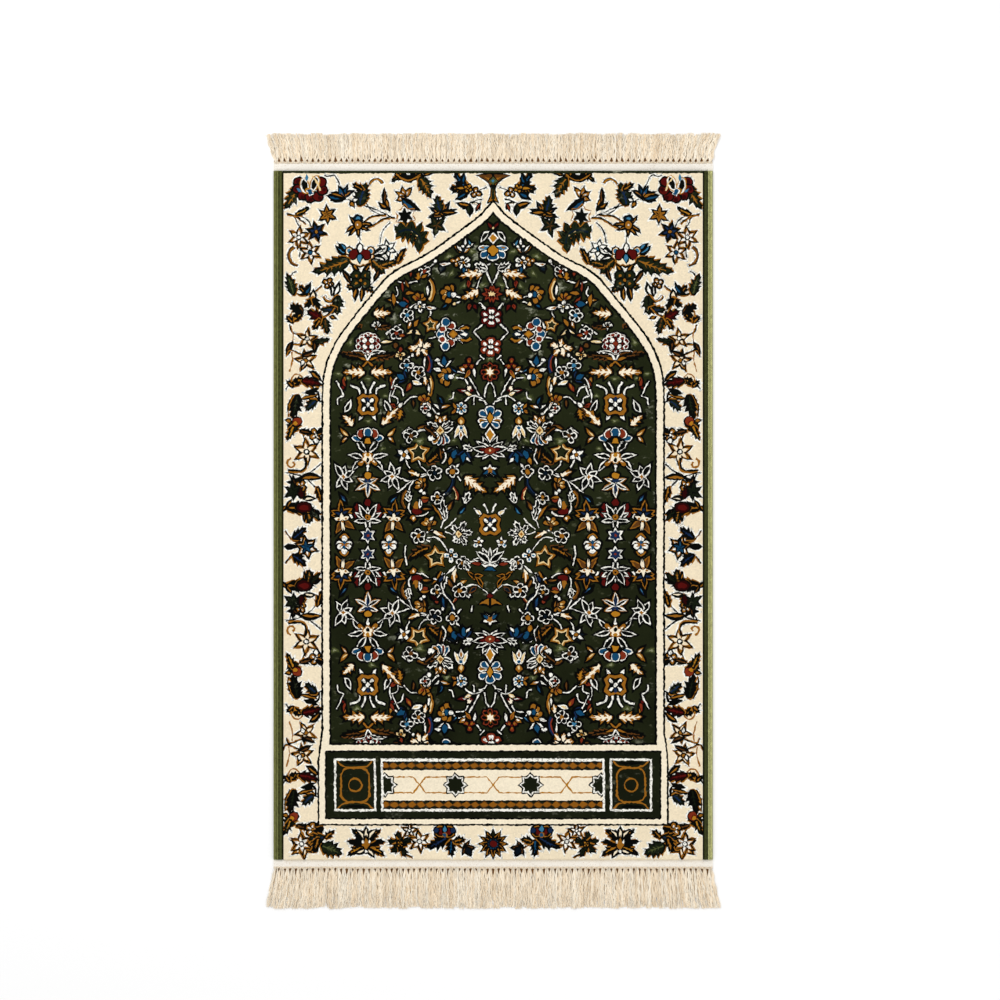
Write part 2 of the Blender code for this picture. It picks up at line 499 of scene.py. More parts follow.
def lily(pen, size=21, inner=blue, outer=ochre):
    blades(pen, pair((62, size, size * 0.26, size * 0.3), (30, size * 1.05, size * 0.3, size * 0.2)),
        *inked(night))
    blades(pen, pair((62, size * 0.8, size * 0.15, size * 0.2)), outer)
    blades(pen, pair((30, size * 0.8, size * 0.16, size * 0.12)), inner)
    pen.lay(leaf(size * 0.95, size * 0.3), *inked(inner))
    pen.lay(leaf(size * 0.5, size * 0.16, steps=3), outer)


def quatre(pen, radius=9, fill=ochre, heart=white, count=4, turn=45, core=None):
    for part in pen.round(count, turn):
        part.lay(petal(radius, radius * 0.66), (1.9, ink), fill)
    for part in pen.round(count, turn):
        part.at(y=radius * 0.16).lay(leaf(radius * 0.6, radius * 0.3, steps=3), heart)
    pen.lay(disc(radius * 0.2, count=6), (1.0, ink), core or fill)


def starLeaf(pen, radius=15, count=6, body=bottle, rib=ink, turn=0):
    rows = [(turn + 360 * k / count, radius * (1, 0.82)[k % 2], radius * 0.36,
        radius * 0.1) for k in range(count)]
    blades(pen, rows, (1.9, ink), body)
    for a, long, _, bend in rows:
        pen.at(turn=a).lay(leaf(long * 0.72, 1.8, bend * 0.5, 3), rib)


def outlineLeaf(pen, length=27, width=10, bend=0.0, fill=ink, line=white):
    pen.at(y=1.2).lay(leaf(length - 3, max(width - 3.2, 1.2), bend), (2.7, ink), (1.5, line), fill)


def wavyLeaf(pen, length=20, width=11, teeth=2, bend=0.0, line=white, fill=ink):
    pen.at(y=1.2).lay(toothed(length - 3, width - 2, teeth, bend, 0.4), (2.6, ink), (1.4, line), fill)
    pen.at(y=1.2).lay(leaf(length * 0.56, 1.6, bend * 0.3, 3), line)


def rosette(pen, radius=10, count=6, fill=white, heart=sky, core=ochre):
    for part in pen.round(count):
        part.lay(petal(radius, radius * 0.66), (1.7, ink), fill)
    for part in pen.round(count):
        part.at(y=radius * 0.34).lay(petal(radius * 0.44, radius * 0.3), heart)
    pen.lay(disc(radius * 0.16, count=7), (1.8, ink), core)


def leafFlower(pen, radius=20, count=6, spread=215, heart=ochre):
    for k, part in enumerate(pen.round(count, 0, spread)):
        outlineLeaf(part, radius * (0.92, 1.1)[k % 2], radius * 0.56, (k - count // 2) * -1.2)
    pen.at(y=2.5).lay(star(4, 4.2, 2.2), (1.5, white), heart)


def smallFlower(pen, radius=9, count=5, fill=white, heart=ochre, line=ink):
    for part in pen.round(count):
        part.lay(leaf(radius, radius * 0.5, steps=3), (1.5, line), fill)
    pen.lay(disc(radius * 0.26, count=6), (1.0, ink), heart)


def crescent(pen, radius=14, width=3, fill=white, inner=white, start=-60, end=40):
    line = arcLine(radius, start, end)
    pen.lay(ribbon(line, width + 2.8, 0.6), ink)
    pen.lay(ribbon(line, width, 0.5), fill)
    pen.lay(ribbon(arcLine(radius - width * 0.34, start + 2, end - 4), width * 0.42, 0.6), inner)


def tulip(pen, size=17, fill=night, side=ochre):
    blades(pen, pair((40, size, size * 0.34, 3)), *inked(side))
    blades(pen, pair((38, size * 0.66, size * 0.17, 2)), white)
    pen.lay(leaf(size * 0.92, size * 0.36), (1.4, ink), fill)


def diamond(pen, width=12, tall=14, fill=gold, line=white):
    pen.lay([(0, -tall / 2), (width / 2, 0), (0, tall / 2), (-width / 2, 0)], (3.4, ink), (2.0, line), fill)


def cupFlower(pen):
    # a flower seen from the side: blue petals lined white round an ochre heart
    for side in (-1, 1):
        pen.at(3 * side, 4, -82 * side).lay(petal(19, 6, 3 * side), *lined(sky))
        pen.at(13 * side, 5, -94 * side).lay(leaf(8, 3), ochre)
        pen.at(4 * side, -1, -118 * side).lay(petal(17, 9), *lined(blue))
    pen.at(y=-1, turn=180).lay(petal(14, 16), *lined(blue))
    pen.lay(scallop(4, 8, 1.4, 45), (1.8, ink), gold)


def butterfly(pen, feelers=True):
    for side in (-1, 1):
        if feelers:
            vines(pen, [(4 * side, 17, 5 * side, 26, 11 * side, 36),
                (13 * side, 14, 15 * side, 25, 29 * side, 31)], 2.8)
            outlineLeaf(pen.at(8 * side, -15, 180 + 30 * side), 11, 5.4, 0.0, white)
    pen.lay(scallop(4, 20, 5.4), (1.6, ink), ochre)
    pen.lay(scallop(4, 14.4, 4.6), ink)
    for part in pen.round(4, 45):
        part.at(y=5).lay(petal(8, 5.4), white)
    pen.lay([(0, -4.4), (3.8, 0), (0, 4.4), (-3.8, 0)], white)
    pen.at(y=9).lay(disc(2.6, 3.4), navy)


def fanPalmette(pen):
    for turn, fill, long, wide in ((-82, blue, 25, 8), (82, blue, 25, 8), (-44, brick, 20, 15),
            (44, brick, 20, 15), (0, blue, 18, 12)):
        pen.at(turn=turn).lay(petal(long, wide), *lined(fill))
        if fill == brick:
            pen.at(turn=turn, y=4).lay(petal(12, 6), rust)
    pen.at(y=-3).lay([(-16, 0), (16, 0), (7, 9), (-7, 9)], ink)
    pen.at(y=-2).lay([(-6, -4), (6, -4), (2, 5), (-2, 5)], (1.2, ink), gold)


def crown(pen):
    # black arms lined white on an ochre and cream cup
    for side in (-1, 1):
        outlineLeaf(pen.at(3 * side, 0, -38 * side))
        outlineLeaf(pen.at(7 * side, -10, -62 * side), 26, 9, 6 * side)
        outlineLeaf(pen.at(9 * side, -14, -108 * side), 22, 9, 9 * side)
        pen.at(6 * side, -13, -128 * side).lay(petal(12, 7), (1.7, ink), ochre)
        pen.at(5 * side, -11, -128 * side).lay(leaf(9, 3), cream)
    pen.at(y=-9).lay(scallop(5, 8.4, 2.6, 18), (1.6, ochre), cream)
    pen.at(y=-12).lay(disc(3, 4), ink)
    pen.at(y=-4).lay(disc(3.2), gold)
    dot(pen.at(y=-22))


def starLily(pen):
    rows = pair((58, 16, 3, 2), (124, 21, 3.4, -2))
    blades(pen.at(y=-1), [*rows, (180, 21, 5, 0)], (4.4, ink), (2.9, ochre), (1.6, white), ink)
    blades(pen, [(180, 17, 4, 0), *pair((40, 8, 5, 0))], navy)
    pen.at(y=11).lay(disc(6.4, 5, count=9), (1.5, ink), gold)


def squarePalmette(pen):
    for x, y in ((-18, 2), (-16, 13), (0, 20), (16, 13), (18, 2)):
        pen.at(x, y).lay(disc(5.6, 6, count=6), (1.4, ink), red)
    for turn, long, wide in ((60, 24, 9), (0, 20, 8), (30, 29, 11)):
        for side in (-1, 1):
            outlineLeaf(pen.at(0, -8, turn * side), long, wide)
    for side in (-1, 1):
        outlineLeaf(pen.at(0, -9, -86 * side), 22, 8, 2 * side)
    pen.at(y=-3).lay(disc(4.6, count=8), (1.0, ink), ochre)
    pen.at(y=-3).lay(disc(1.7, count=6), ink)


def bellFlower(pen):
    rows = [(0, 22, 7, 0), *pair((52, 17, 8, 3), (92, 15, 6, -2))]
    blades(pen, rows, (2.8, ink), (1.5, ochre), ink)
    blades(pen, [(0, 12, 4, 0), *pair((52, 12, 4, 2))], navy)
    blades(pen.at(y=-7), [(158, 22, 7, 3), (-140, 22, 7, -3)], (2.8, ink), (1.5, ochre), rust)
    blades(pen.at(y=-7), [(0, 11, 6, 0), *pair((75, 13, 6, 0), (170, 18, 3, 2))], (1.8, ink), cream)
    for x, y in ((-6, -6), (0, -10), (6, -6)):
        pen.at(x, y).lay(disc(2.1, count=6), ochre)


def peonyRosette(pen):
    pen.lay(scallop(10, 20, 2.8, squash=0.86), (2.2, ink), (1.0, white), red)
    for k, part in enumerate(pen.round(10, 18)):
        part.at(y=12.4 + 1.4 * abs(math.cos(math.pi * (2 * k + 1) / 10))).lay(disc(3.0, count=6),
            (1.3, white), brick if k % 2 else red)
    pen.lay(disc(11.4, 9.8, count=12), (1.6, ink), red)
    for turn in (50, 130, 230, 310):
        pen.at(turn=turn).at(y=7.6).lay(disc(4.2, 3.6, count=8), (1.0, ink), white)
    pen.lay(disc(4, 3.2, count=8), (1.0, ink), brick)


def wingSpray(pen):
    for side in (-1, 1):
        outlineLeaf(pen.at(3 * side, 1, -68 * side), 28, 6, 9 * side)
        outlineLeaf(pen.at(3 * side, -2, -84 * side), 19, 6, 4 * side)
        darkLeaf(pen.at(8 * side, -4, -86 * side), 34, 9, 4, -2 * side, ink, rust, rust)
        blade(pen.at(2 * side, -10, -56 * side), 15, 4, 4 * side, ochre)
    vines(pen, [(-5, 0, 0, -9, 5, 0)], 2.4)
    pen.at(y=-15).lay(ribbon((-8, -4, -4, 0, 0, 3, 4, 0, 8, -4), 2.6), (1.0, ink), ochre)


def sidePalmette(pen):
    # blue and brick roundels lined white, with black looped leaves behind
    for side in (-1, 1):
        for turn, long in ((168, 27), (142, 25), (116, 18)):
            outlineLeaf(pen.at(4 * side, -2, turn * side), long, 10, -6 * side)
        pen.at(13 * side, 0).lay(petal(-13, 10), *lined(brick))
    for x, y in ((-19, 1), (0, 9), (19, 1)):
        pen.at(x, y).lay(disc(6, count=9), *lined(blue))
    for side in (-1, 1):
        pen.at(8 * side, 6).lay(disc(4.4, 5, count=7), (1.6, white), brick)
    diamond(pen.at(y=-11), 8, 9, gold, ochre)
    crescent(pen.at(0, -30), 11, 3.6, ochre, gold, -35, 55)
    crescent(pen.at(0, -30), 11, 3.6, ochre, gold, 235, 145)
    pen.at(y=-34).lay(leaf(11, 6), (2.6, night), white)


def pansy(pen, fill=blue):
    for turn, long in ((-88, 15), (-50, 16), (-10, 17), (32, 15), (72, 15)):
        pen.at(turn=turn).lay(petal(long, 8.4), (1.8, ink), ochre)
    for turn in (-70, -28, 12, 54):
        pen.at(turn=turn, y=5).lay(leaf(6, 2.6, steps=3), straw)
    pen.at(y=1).lay(disc(7.6, count=8), ink)
    pen.at(y=3).lay(disc(5, 3.6, count=7), fill)
    dot(pen.at(y=-4), 3.8)


def serratedPalmette(pen):
    # pointed white-lined leaves all round a dark-red heart
    for turn, long, wide in ((140, 17, 9), (112, 25, 10), (28, 25, 11), (56, 25, 11), (82, 28, 12)):
        for side in (-1, 1):
            outlineLeaf(pen.at(turn=turn * side), long, wide)
    blades(pen, pair((82, 17, 6, 0), (112, 13, 4, 0)), red)
    pen.lay(disc(8.4, 5.6, count=8), (1.2, ink), brick)
    pen.lay(disc(2, count=6), straw)


def lotus(pen):
    for turn, long, wide in ((72, 28, 9), (22, 27, 10), (0, 25, 7), (46, 29, 11)):
        for side in (-1, 1):
            outlineLeaf(pen.at(turn=turn * side), long, wide, -2 * side * (turn > 0))
    vines(pen, [(-15, 1, -8, -5, 0, -2, 8, -5, 15, 1)], 2.6)
    pen.at(y=-12).lay([(-9, 0), (9, 0), (3, 6), (-3, 6)], (1.6, ink), blue)
    for side in (-1, 1):
        blade(pen.at(14 * side, -1, -98 * side), 15, 5, -3 * side, brick, red)


def sheenPatch(pen, wide=18, tall=12, turn=0):
    # a patch of brushed pile painted lighter: painted sheen where the pile catches the light
    outline = []
    for k in range(12):
        a = math.pi * k / 6
        r = wide * (0.42 + 0.13 * math.sin(3 * a + wide) + 0.07 * math.sin(5 * a + 2 * wide))
        outline.append((r * math.cos(a), r * tall / wide * math.sin(a)))
    pen.at(turn=turn).lay(outline, (1.8, fern), olive, (-0.5, sage))


def peonyCorner(pen):
    # the big cut flower in the top corner: leaf, dark-red lobes, striped heart
    darkLeaf(pen.at(-309, 524, 156), 40, 20, 4, 5, bottle, ochre, rust)
    for x, y in ((-309, 530), (-311, 519), (-303, 509), (-291, 505), (-279, 507), (-272, 517), (-274, 530)):
        pen.at(x, y).lay(disc(7.4, 6.6, count=9), (1.9, ink), red)
    for x, y in ((-311, 531), (-313, 519), (-304, 506), (-291, 502), (-276, 505), (-269, 518)):
        pen.at(x, y).lay(disc(3.4, count=7), wine)
    for x, y, turn in ((-300, 524, 12), (-284, 528, -18)):
        heart = pen.at(x, y, turn)
        heart.lay(disc(6.6, 12.5, count=10), (1.3, gold), white)
        heart.lay(disc(4.4, 10.4, count=9), ink)
    pen.at(-297, 531, 0).lay(leaf(12, 5), sky)
    pen.at(-305, 514, 50).lay(leaf(9, 4), sky)
    pen.at(-291, 514, -62).lay(box(-4.5, -3, 4.5, 3), (1.0, white), blue)
    pen.lay(ribbon((-288, 540, -279, 528, -275, 516), 2.6), straw)
    pen.lay(ribbon((-296, 512, -299, 518, -292, 520), 2.2), gold)


def spiderFlower(pen):
    rows = [(60, 22, 4, 6), (104, 26, 4.4, -9), (150, 25, 4, 5), (186, 22, 4.4, 2), (-128, 22, 4, -5),
        (-76, 28, 4.4, 8)]
    blades(pen, rows, (1.5, ink))
    blades(pen, [(a, long * 0.8, wide * 0.6, b * 0.6) for a, long, wide, b in rows], ochre)
    pen.at(y=10).lay(scallop(5, 7.6, 1.4, squash=0.9), (1.7, ink), night)
    pen.at(y=11).lay(disc(4.4, 3.2, count=7), sky)
    pen.lay(disc(6.2, 7.6, count=9), (1.9, ink), ochre)
    pen.at(x=-1).lay(disc(2.1, count=7), white)


def hangingPalmette(pen):
    # the broad spandrel flower: dark-red lobes and blue drops on an ochre cup
    for x, y, turn, long, bend in ((-24, 0, 68, 22, 6), (-26, 8, 34, 14, -3), (24, 0, -68, 24, -6),
            (26, -4, -96, 20, 5)):
        hook(pen.at(x, y, turn), long, 9, bend, sky if x < 0 else white, night)
    for coat in ((2.6, ink), (1.3, ochre), (0, ivory)):
        for x, y, r in ((-17, -3, 7), (-9, -10, 8), (0, -12, 8), (9, -10, 8), (17, -3, 7)):
            pen.at(x, y).lay(disc(r, count=9), coat)
    for side in (-1, 1):
        pen.at(19 * side, 6).lay(disc(4.4, count=8), (2.8, ink), (1.8, ochre), (0.9, ivory), sky)
        for coat in ((1.2, ink), (0, red)):
            for x, y, wide, tall in ((11, 2, 7.6, 6), (13, -4, 6, 5), (6, 4, 5, 5)):
                pen.at(x * side, y).lay(disc(wide, tall, count=9), coat)
    pen.at(y=-15).lay(leaf(17, 8, belly=1.1), (1.3, ink), sky)
    pen.at(y=3).lay(leaf(16, 9, belly=1.2), (1.6, ink), white)


def berryCross(pen):
    for side in (-1, 1):
        hook(pen.at(6 * side, 14, -26 * side), 17, 8, 2 * side)
        darkLeaf(pen.at(6 * side, -9, -112 * side), 17, 11)
        for y in (8, -6):
            pen.at(8.6 * side, y).lay(scallop(5, 8, 1.4), (2.0, ink), bottle)
            pen.at(8 * side, y).lay(disc(2.6, count=6), ochre)
    hook(pen.at(-6, -14, 152), 21, 9, -6)
    hook(pen.at(3, -14, 186), 22, 8, 4)
    pen.lay(disc(3, count=6), (1.2, ink), ochre)


def bowlFlower(pen):
    # half a flower hanging from the top edge
    for turn, long, bend in ((108, 31, -7), (-108, 31, 7)):
        darkLeaf(pen.at(turn=turn), long, 13, 4, bend)
    for turn in (132, 164, 196, 228):
        pen.at(turn=turn).lay(petal(14, 7), (1.6, ink), ink if turn % 8 else blue)
    pen.at(y=-4).lay(disc(4, 2.4), white)
    pen.lay(ribbon((-22, -5, -11, -13, 0, -16, 11, -13, 22, -5), 2.4), (1.8, ink), ochre)


def footPalmette(pen):
    for side in (-1, 1):
        darkLeaf(pen.at(4 * side, -8, -100 * side), 28, 13, 4, 8 * side, rust, gold, ochre)
        darkLeaf(pen.at(4 * side, -4, -66 * side), 26, 12, 3, 5 * side, ink, ink)
        darkLeaf(pen.at(4 * side, 2, -28 * side), 26, 13, 3, 7 * side, rust, ochre, ochre)
        outlineLeaf(pen.at(2 * side, 4, -18 * side), 24, 8, 8 * side, ivory, ink)
        outlineLeaf(pen.at(3 * side, -12, -128 * side), 16, 7, 3, ivory, ink)
    outlineLeaf(pen.at(y=6), 20, 8, 0, ivory, ink)
    pen.at(y=-4).lay([(0, -9), (7, 0), (0, 13), (-7, 0)], (1.8, ink), ochre)
    for side in (-1, 1):
        pen.at(6 * side, -2).lay(leaf(8, 4), white)
    dot(pen.at(y=-16), 3)


def sunRosette(pen):
    for k, part in enumerate(pen.round(12)):
        part.lay(leaf(24, 8.4, belly=0.9), (1.4, ink), ochre if k else bottle)
        part.at(y=4).lay(leaf(17 if k else 1, 5.6, belly=0.9), ink)
    pen.lay(star(12, 12, 9), (1.2, ink), night)
    pen.lay(star(12, 9.4, 7.4), blue)
    pen.lay(disc(6.4, count=9), (1.4, night), red)


def sweepPalmette(pen):
    # foot border: red-eyed palmette over one long sweeping leaf, with a blue bud
    twin(pen, (6, -10, 18, -20, 36, -30), 2.4)
    darkLeaf(pen.at(4, -10, 128), 38, 20, 4, 8, night, navy)
    darkLeaf(pen.at(12, -16, 172), 25, 14, 3, -4, ink, blue)
    darkLeaf(pen.at(18, -17, -66))
    bud(pen.at(34, -30, -86))
    bud(pen.at(38, -26, -150), 14, night)
    for side in (-1, 1):
        pen.at(8 * side, 1).lay(disc(8.4, 8.8, count=10), (2.8, ink), (1.4, ochre), ink)
        pen.at(7 * side, 1).lay(disc(4.6, 6, count=8), red)
        pen.at(15 * side, 3).lay(disc(4.4, count=8), (1.2, ink), navy)
    pen.lay(leaf(11, 8), (1.4, ink), sky)
    pen.at(y=-5).lay(disc(3.4, count=7), (1.4, ochre), blue)


def finial(pen):
    for side in (-1, 1):
        pen.at(y=524).lay([(0, -8), (4 * side, 0), (8 * side, 7), (14 * side, 12), (26 * side, 16.5),
            (14 * side, 18), (0, 18)], (1.6, ink), rust)
        pen.at(y=524).lay([(1 * side, -3), (4 * side, 3), (8 * side, 10), (14 * side, 14.6), (6 * side, 13)],
            ochre)
        pen.at(y=498).lay([(0, 26), (1.6 * side, 26), (3 * side, 10), (8 * side, 0), (1 * side, 4)],
            (1.6, ink), ochre)
    pen.lay([(-1.4, 520), (-3, 503), (3, 503), (1.4, 520)], bottle)
    pen.at(y=532).lay(star(4, 7, 4.6), (0.8, ink), olive)
    pen.at(y=532).lay(star(4, 3, 1.6), sky)


def spandrel(pen):
    vines(pen, [(-329, 479, -316, 474, -309, 460), (-310, 478, -296, 470, -288, 457),
        (-268, 541, -262, 539, -252, 541, -244, 526, -236, 512), (-232, 503, -210, 494, -190, 488, -160, 474),
        (-204, 500, -194, 486, -176, 476), (-10, 522, -20, 518, -27, 513), (-180, 432, -176, 452, -164, 466),
        (-18, 503, -30, 500, -44, 493), (-306, 430, -308, 410), (-212, 446, -212, 430)], 1.9, ink)
    twin(pen, (-206, 456, -190, 462, -174, 472, -156, 474))
    twin(pen, (-206, 467, -192, 476, -170, 478))
    twin(pen, (-328, 479, -314, 476, -298, 464))
    peonyCorner(pen)
    place(pen, (darkLeaf, -212, 494, -8, 38, 27, 5, 5, bottle, navy),
        (darkLeaf, -208, 518, 60, 17, 9, 2, 0, ink), (crescent, -186, 524, 90, 12, 3, ochre, gold, -70, 80),
        (lily, -238, 505, 24), (hook, -238, 504, 62, 25, 9, -5, ochre, blue),
        (hook, -240, 502, 92, 26, 10, 8, blue, ochre), (blade, -226, 498, -150, 9, 5, 0, ochre),
        (blade, -222, 500, -60, 8, 5), (starLeaf, -264, 478, 10, 15, 6, ochre),
        (darkLeaf, -313, 479, -74, 22, 7, 3, -5, ochre, gold), (starFlower, -309, 442, 0),
        (starFlower, -281, 451, 20, 16, 6, ink, navy, ochre),
        (starFlower, -291, 418, 12, 17, 6, ochre, white, blue),
        (crescent, -309, 413, 0, 18, 4.4, rust, ochre, 120, 265), (spiderFlower, -215, 462, 0),
        (hangingPalmette, -212, 415, 0), (smallFlower, -168, 424, 10, 14, 6, white, sky),
        (crescent, -180, 427, -50, 13, 5, ink, white, -60, 60),
        (darkLeaf, -152, 402, -14, 26, 10, 3, 6, rust), (darkLeaf, -230, 406, 116, 64, 32, 5, 8),
        (darkLeaf, -192, 406, -128, 30, 18, 3, 4), (darkLeaf, -176, 398, -68, 24, 12, 3, 4),
        (hook, -181, 391, 168, 22, 7, 4, rust, ochre), (hook, -238, 388, 218, 24, 8, 2, rust, ochre),
        (berryCross, -210, 374, 0), (bowlFlower, -135, 547, 0),
        (darkLeaf, -116, 536, -142, 36, 24, 4, 5, bottle, ochre, rust), (hook, -110, 541, -60))
    for turn, long in ((-30, 17), (20, 15), (64, 14), (120, 12)):
        blade(pen.at(-141, 506, turn), long, 7, 2, ochre, white)
    place(pen, (hook, -144, 504, -140, 34, 16, -9, blue, navy), (hook, -166, 486, 34, 24, 9, 6, ochre, gold),
        (hook, -168, 490, 10, 22, 8, -6, ochre, rust), (hook, -170, 488, 66, 14, 8, 3, ochre, gold),
        (hook, -174, 496, -8, 26, 7, -3, rust, ochre))
    outline = star(6, 18, 12, 5)
    place(pen, (acanthus, 0, 0, 0))
    pen.at(-140, 477).lay(ribbon([*[tuple(p) for p in outline], tuple(outline[0])], 1.8, 1.0, 1), ochre)
    place(pen, (starLeaf, -140, 476, 12, 10, 6, ink), (lily, -80, 476, 16, 24, ochre),
        (darkLeaf, -84, 484, 22, 25, 17, 3, 4, blue, navy), (hook, -82, 482, -84, 24, 9, 3, ochre, rust),
        (hook, -84, 482, 118, 12, 6, 2, ochre, gold), (blade, -82, 474, 150, 12, 5),
        (starLeaf, -90, 461, 30, 17, 5, bottle, rust))
    place(pen, (darkLeaf, -36, 520, 96, 34, 26, 4, 3, navy),
        (darkLeaf, -44, 522, 44, 30, 14, 3, 4, night, blue), (hook, -50, 528, -22, 17, 8, -3, blue),
        (hook, -42, 512, 128, 20, 9, 3, blue), (blade, -44, 520, 88, 17, 5, 0, gold),
        (quatre, -40, 520, 20, 7, gold, ochre), (quatre, -27, 513, 0, 9, ochre, white, 3, 10),
        (hook, -36, 491, 84, 24, 11, 4, ochre, rust), (hook, -37, 493, 170, 16, 12, -3, bottle, olive),
        (crescent, -29, 490, 0, 8, 3, ink, ivory, -30, 130), (blade, -26, 486, -18, 12, 3, 2, brick))
    finial(pen)


def borderRun(pen):
    # the stretch of side border that comes back three times, from its star bud down to its star flower
    twin(pen, (-329, 255, -324, 264, -308, 258, -296, 252))
    vines(pen, [(-320, 260, -319, 246, -324, 228)], 2.0, ochre)
    vines(pen, [(-306, 184, -292, 185, -272, 180), (-305, 132, -301, 124, -299, 114), (-330, 200, -326, 206)],
        2.2, ink)
    place(pen, (starFlower, -298, 246, 15, 17, 5, ochre, ivory, ochre),
        (hook, -303, 254, -78, 22, 7, -4, rust), (blade, -302, 246, 164, 9, 5),
        (scrollLeaf, -313, 215, 20, 12), (darkLeaf, -303, 214, -96, 32, 17, 3, 3, wine, red),
        (hook, -290, 228, -120, 22, 10, 4, ochre, gold), (hook, -298, 195, -84, 22, 7, -5, ink, ochre),
        (outlineLeaf, -284, 196, -140, 14, 7, 2, white, ink),
        (darkLeaf, -312, 190, 174, 38, 24, 4, 4, night, bottle, rust),
        (twin, 0, 0, 0, (-318, 192, -326, 175, -326, 158)),
        (darkLeaf, -282, 182, 124, 22, 14, 3, -3, blue, navy), (blade, -306, 186, -82, 32, 3, -3, ochre),
        (darkLeaf, -322, 134, -24, 26, 22, 3, 2, ochre, gold), (dot, -312, 149, 0, 8, brick),
        (dot, -315, 146, 0, 4, gold, red), (blade, -322, 150, 80, 8, 5, 0, ochre),
        (darkLeaf, -318, 142, 164, 24, 9, 3, 3, ochre, gold),
        (darkLeaf, -306, 134, -96, 20, 7, 3, 3, ink, rust),
        (quatre, -282, 128, 10, 11, ochre, white, 4, 20, white), (hook, -279, 131, -40, 13, 6, 2, ink),
        (blade, -281, 122, 170, 9, 8), (starFlower, -297, 101, 10, 21, 6, ochre, ivory),
        (dot, -297, 101, 0, 3))


def borderLink(pen):
    # from the star flower's stem down to the big red-hearted leaf beside the middle
    twin(pen, (-298, 92, -298, 78, -306, 71, -326, 72), 3.4, 2.2)
    curl(pen.at(-320, 82, 100))
    vines(pen, [(-330, 68, -318, 66, -300, 60, -284, 46, -276, 30), (-324, 66, -320, 56),
        (-300, 64, -288, 70, -274, 82), (-302, 60, -300, 46, -302, 40)], 2.2, ink)
    place(pen, (hook, -306, 60, -78, 36, 12, 8, ochre, gold), (starLeaf, -316, 52, 20, 10, 5, ink, rust),
        (quatre, -306, 47, 10), (starLeaf, -318, 38, 10), (darkLeaf, -304, 28, 10, 17, 12, 3, 0, wine, wine),
        (darkLeaf, -279, 44, 190, 26, 9, 3, -3, rust), (darkLeaf, -328, 12, -88, 58, 22, 5, 12, rust),
        (darkLeaf, -312, 12, -96, 42, 22, 4, 16, bottle, ink))
    pen.at(-301, 12).lay(disc(12, 8, count=10), (1.8, ink), wine)
    pen.at(-301, 12).lay(disc(8, 4.6, count=9), red)
    place(pen, (hook, -300, 26, -70, 16, 9, 5, ivory, white), (hook, -329, 14, 140, 10, 6, 0),
        (hook, -328, 12, -20, 15, 5), (darkLeaf, -294, 2, 196, 15, 12, 2, 2), (hook, -298, 2, 150, 12, 5, -4))


def sideBorder(pen):
    twin(pen, (-314, 354, -304, 350, -288, 354, -272, 366))
    vines(pen, [(-313, 388, -320, 384, -322, 374), (-258, 330, -252, 340, -250, 348)], 2.0, ink)
    vines(pen, [(-324, 304, -320, 292, -306, 284)], 2.4, ink)
    vines(pen, [(-322, 302, -318, 286, -319, 274)], 2.0, ochre)
    place(pen, (darkLeaf, -318, 352, 12, 34, 17, 4, -3, bottle, olive, ochre),
        (darkLeaf, -296, 352, 50, 18, 10, 2, 2, night), (hook, -300, 354, -52, 17, 11, -6, blue, navy),
        (outlineLeaf, -286, 356, 172, 20, 9, -2, ivory, ink),
        (darkLeaf, -286, 344, 140, 18, 9, 2, 2, ink, ink), (darkLeaf, -286, 344, -142, 18, 9, 2, 2, ink, ink),
        (quatre, -262, 369, 20), (outlineLeaf, -246, 366, 172, 20, 8, 4, white, ink),
        (outlineLeaf, -256, 364, 190, 16, 6, 2, white, ink),
        (crescent, -258, 352, -90, 13, 5, ochre, white, -75, 75),
        (darkLeaf, -247, 348, 178, 30, 20, 3, 0, bottle, ink),
        (darkLeaf, -250, 328, 100, 24, 11, 3, 3, blue, navy),
        (twin, 0, 0, 0, (-252, 332, -262, 320, -276, 314)),
        (darkLeaf, -274, 312, 54, 26, 18, 3, -2, wine, red), (darkLeaf, -276, 310, 152, 17, 9, 2, 2, rust),
        (darkLeaf, -268, 312, 192, 24, 13, 3, 0, bottle, rust), (blade, -258, 316, -110, 8, 4, 0, ochre),
        (scrollLeaf, -313, 318, 20), (darkLeaf, -306, 324, 58, 20, 14, 3, 0, ink, ink),
        (hook, -303, 322, 20, 14, 5, -3, rust), (twin, 0, 0, 0, (-328, 258, -322, 272, -304, 273, -280, 278)),
        (hook, -320, 274, 150, 24, 8, -3, rust, ochre), (starFlower, -296, 281, 0, 15, 5, ochre, ivory),
        (darkLeaf, -286, 276, -88, 26, 9, 3, -3, ochre, ink), (hook, -284, 276, 190, 18, 8, 3, rust, ochre))
    borderRun(pen)
    borderRun(pen.mirrored(-50))
    borderRun(pen.at(-5, -628))
    borderLink(pen)
    borderLink(pen.mirrored(-50))
    place(pen, (twin, 0, 0, 0, (-331, -24, -318, -40, -300, -42)),
        (twin, 0, 0, 0, (-331, -76, -318, -62, -300, -60)),
        (darkLeaf, -318, -36, -60, 26, 15, 3, -4, night, navy),
        (darkLeaf, -318, -64, -120, 26, 15, 3, 4, night, navy))
    pen.at(-297, -51).lay(star(6, 16, 9, 12), (2.0, ink), ochre)
    pen.at(-297, -51).lay(star(6, 13.4, 7, 12), white)
    starLeaf(pen.at(-297, -51), 10, 5, blue, night, 10)
    hook(pen.at(-330, -50, -90), 16, 8, 0, ink, sky)


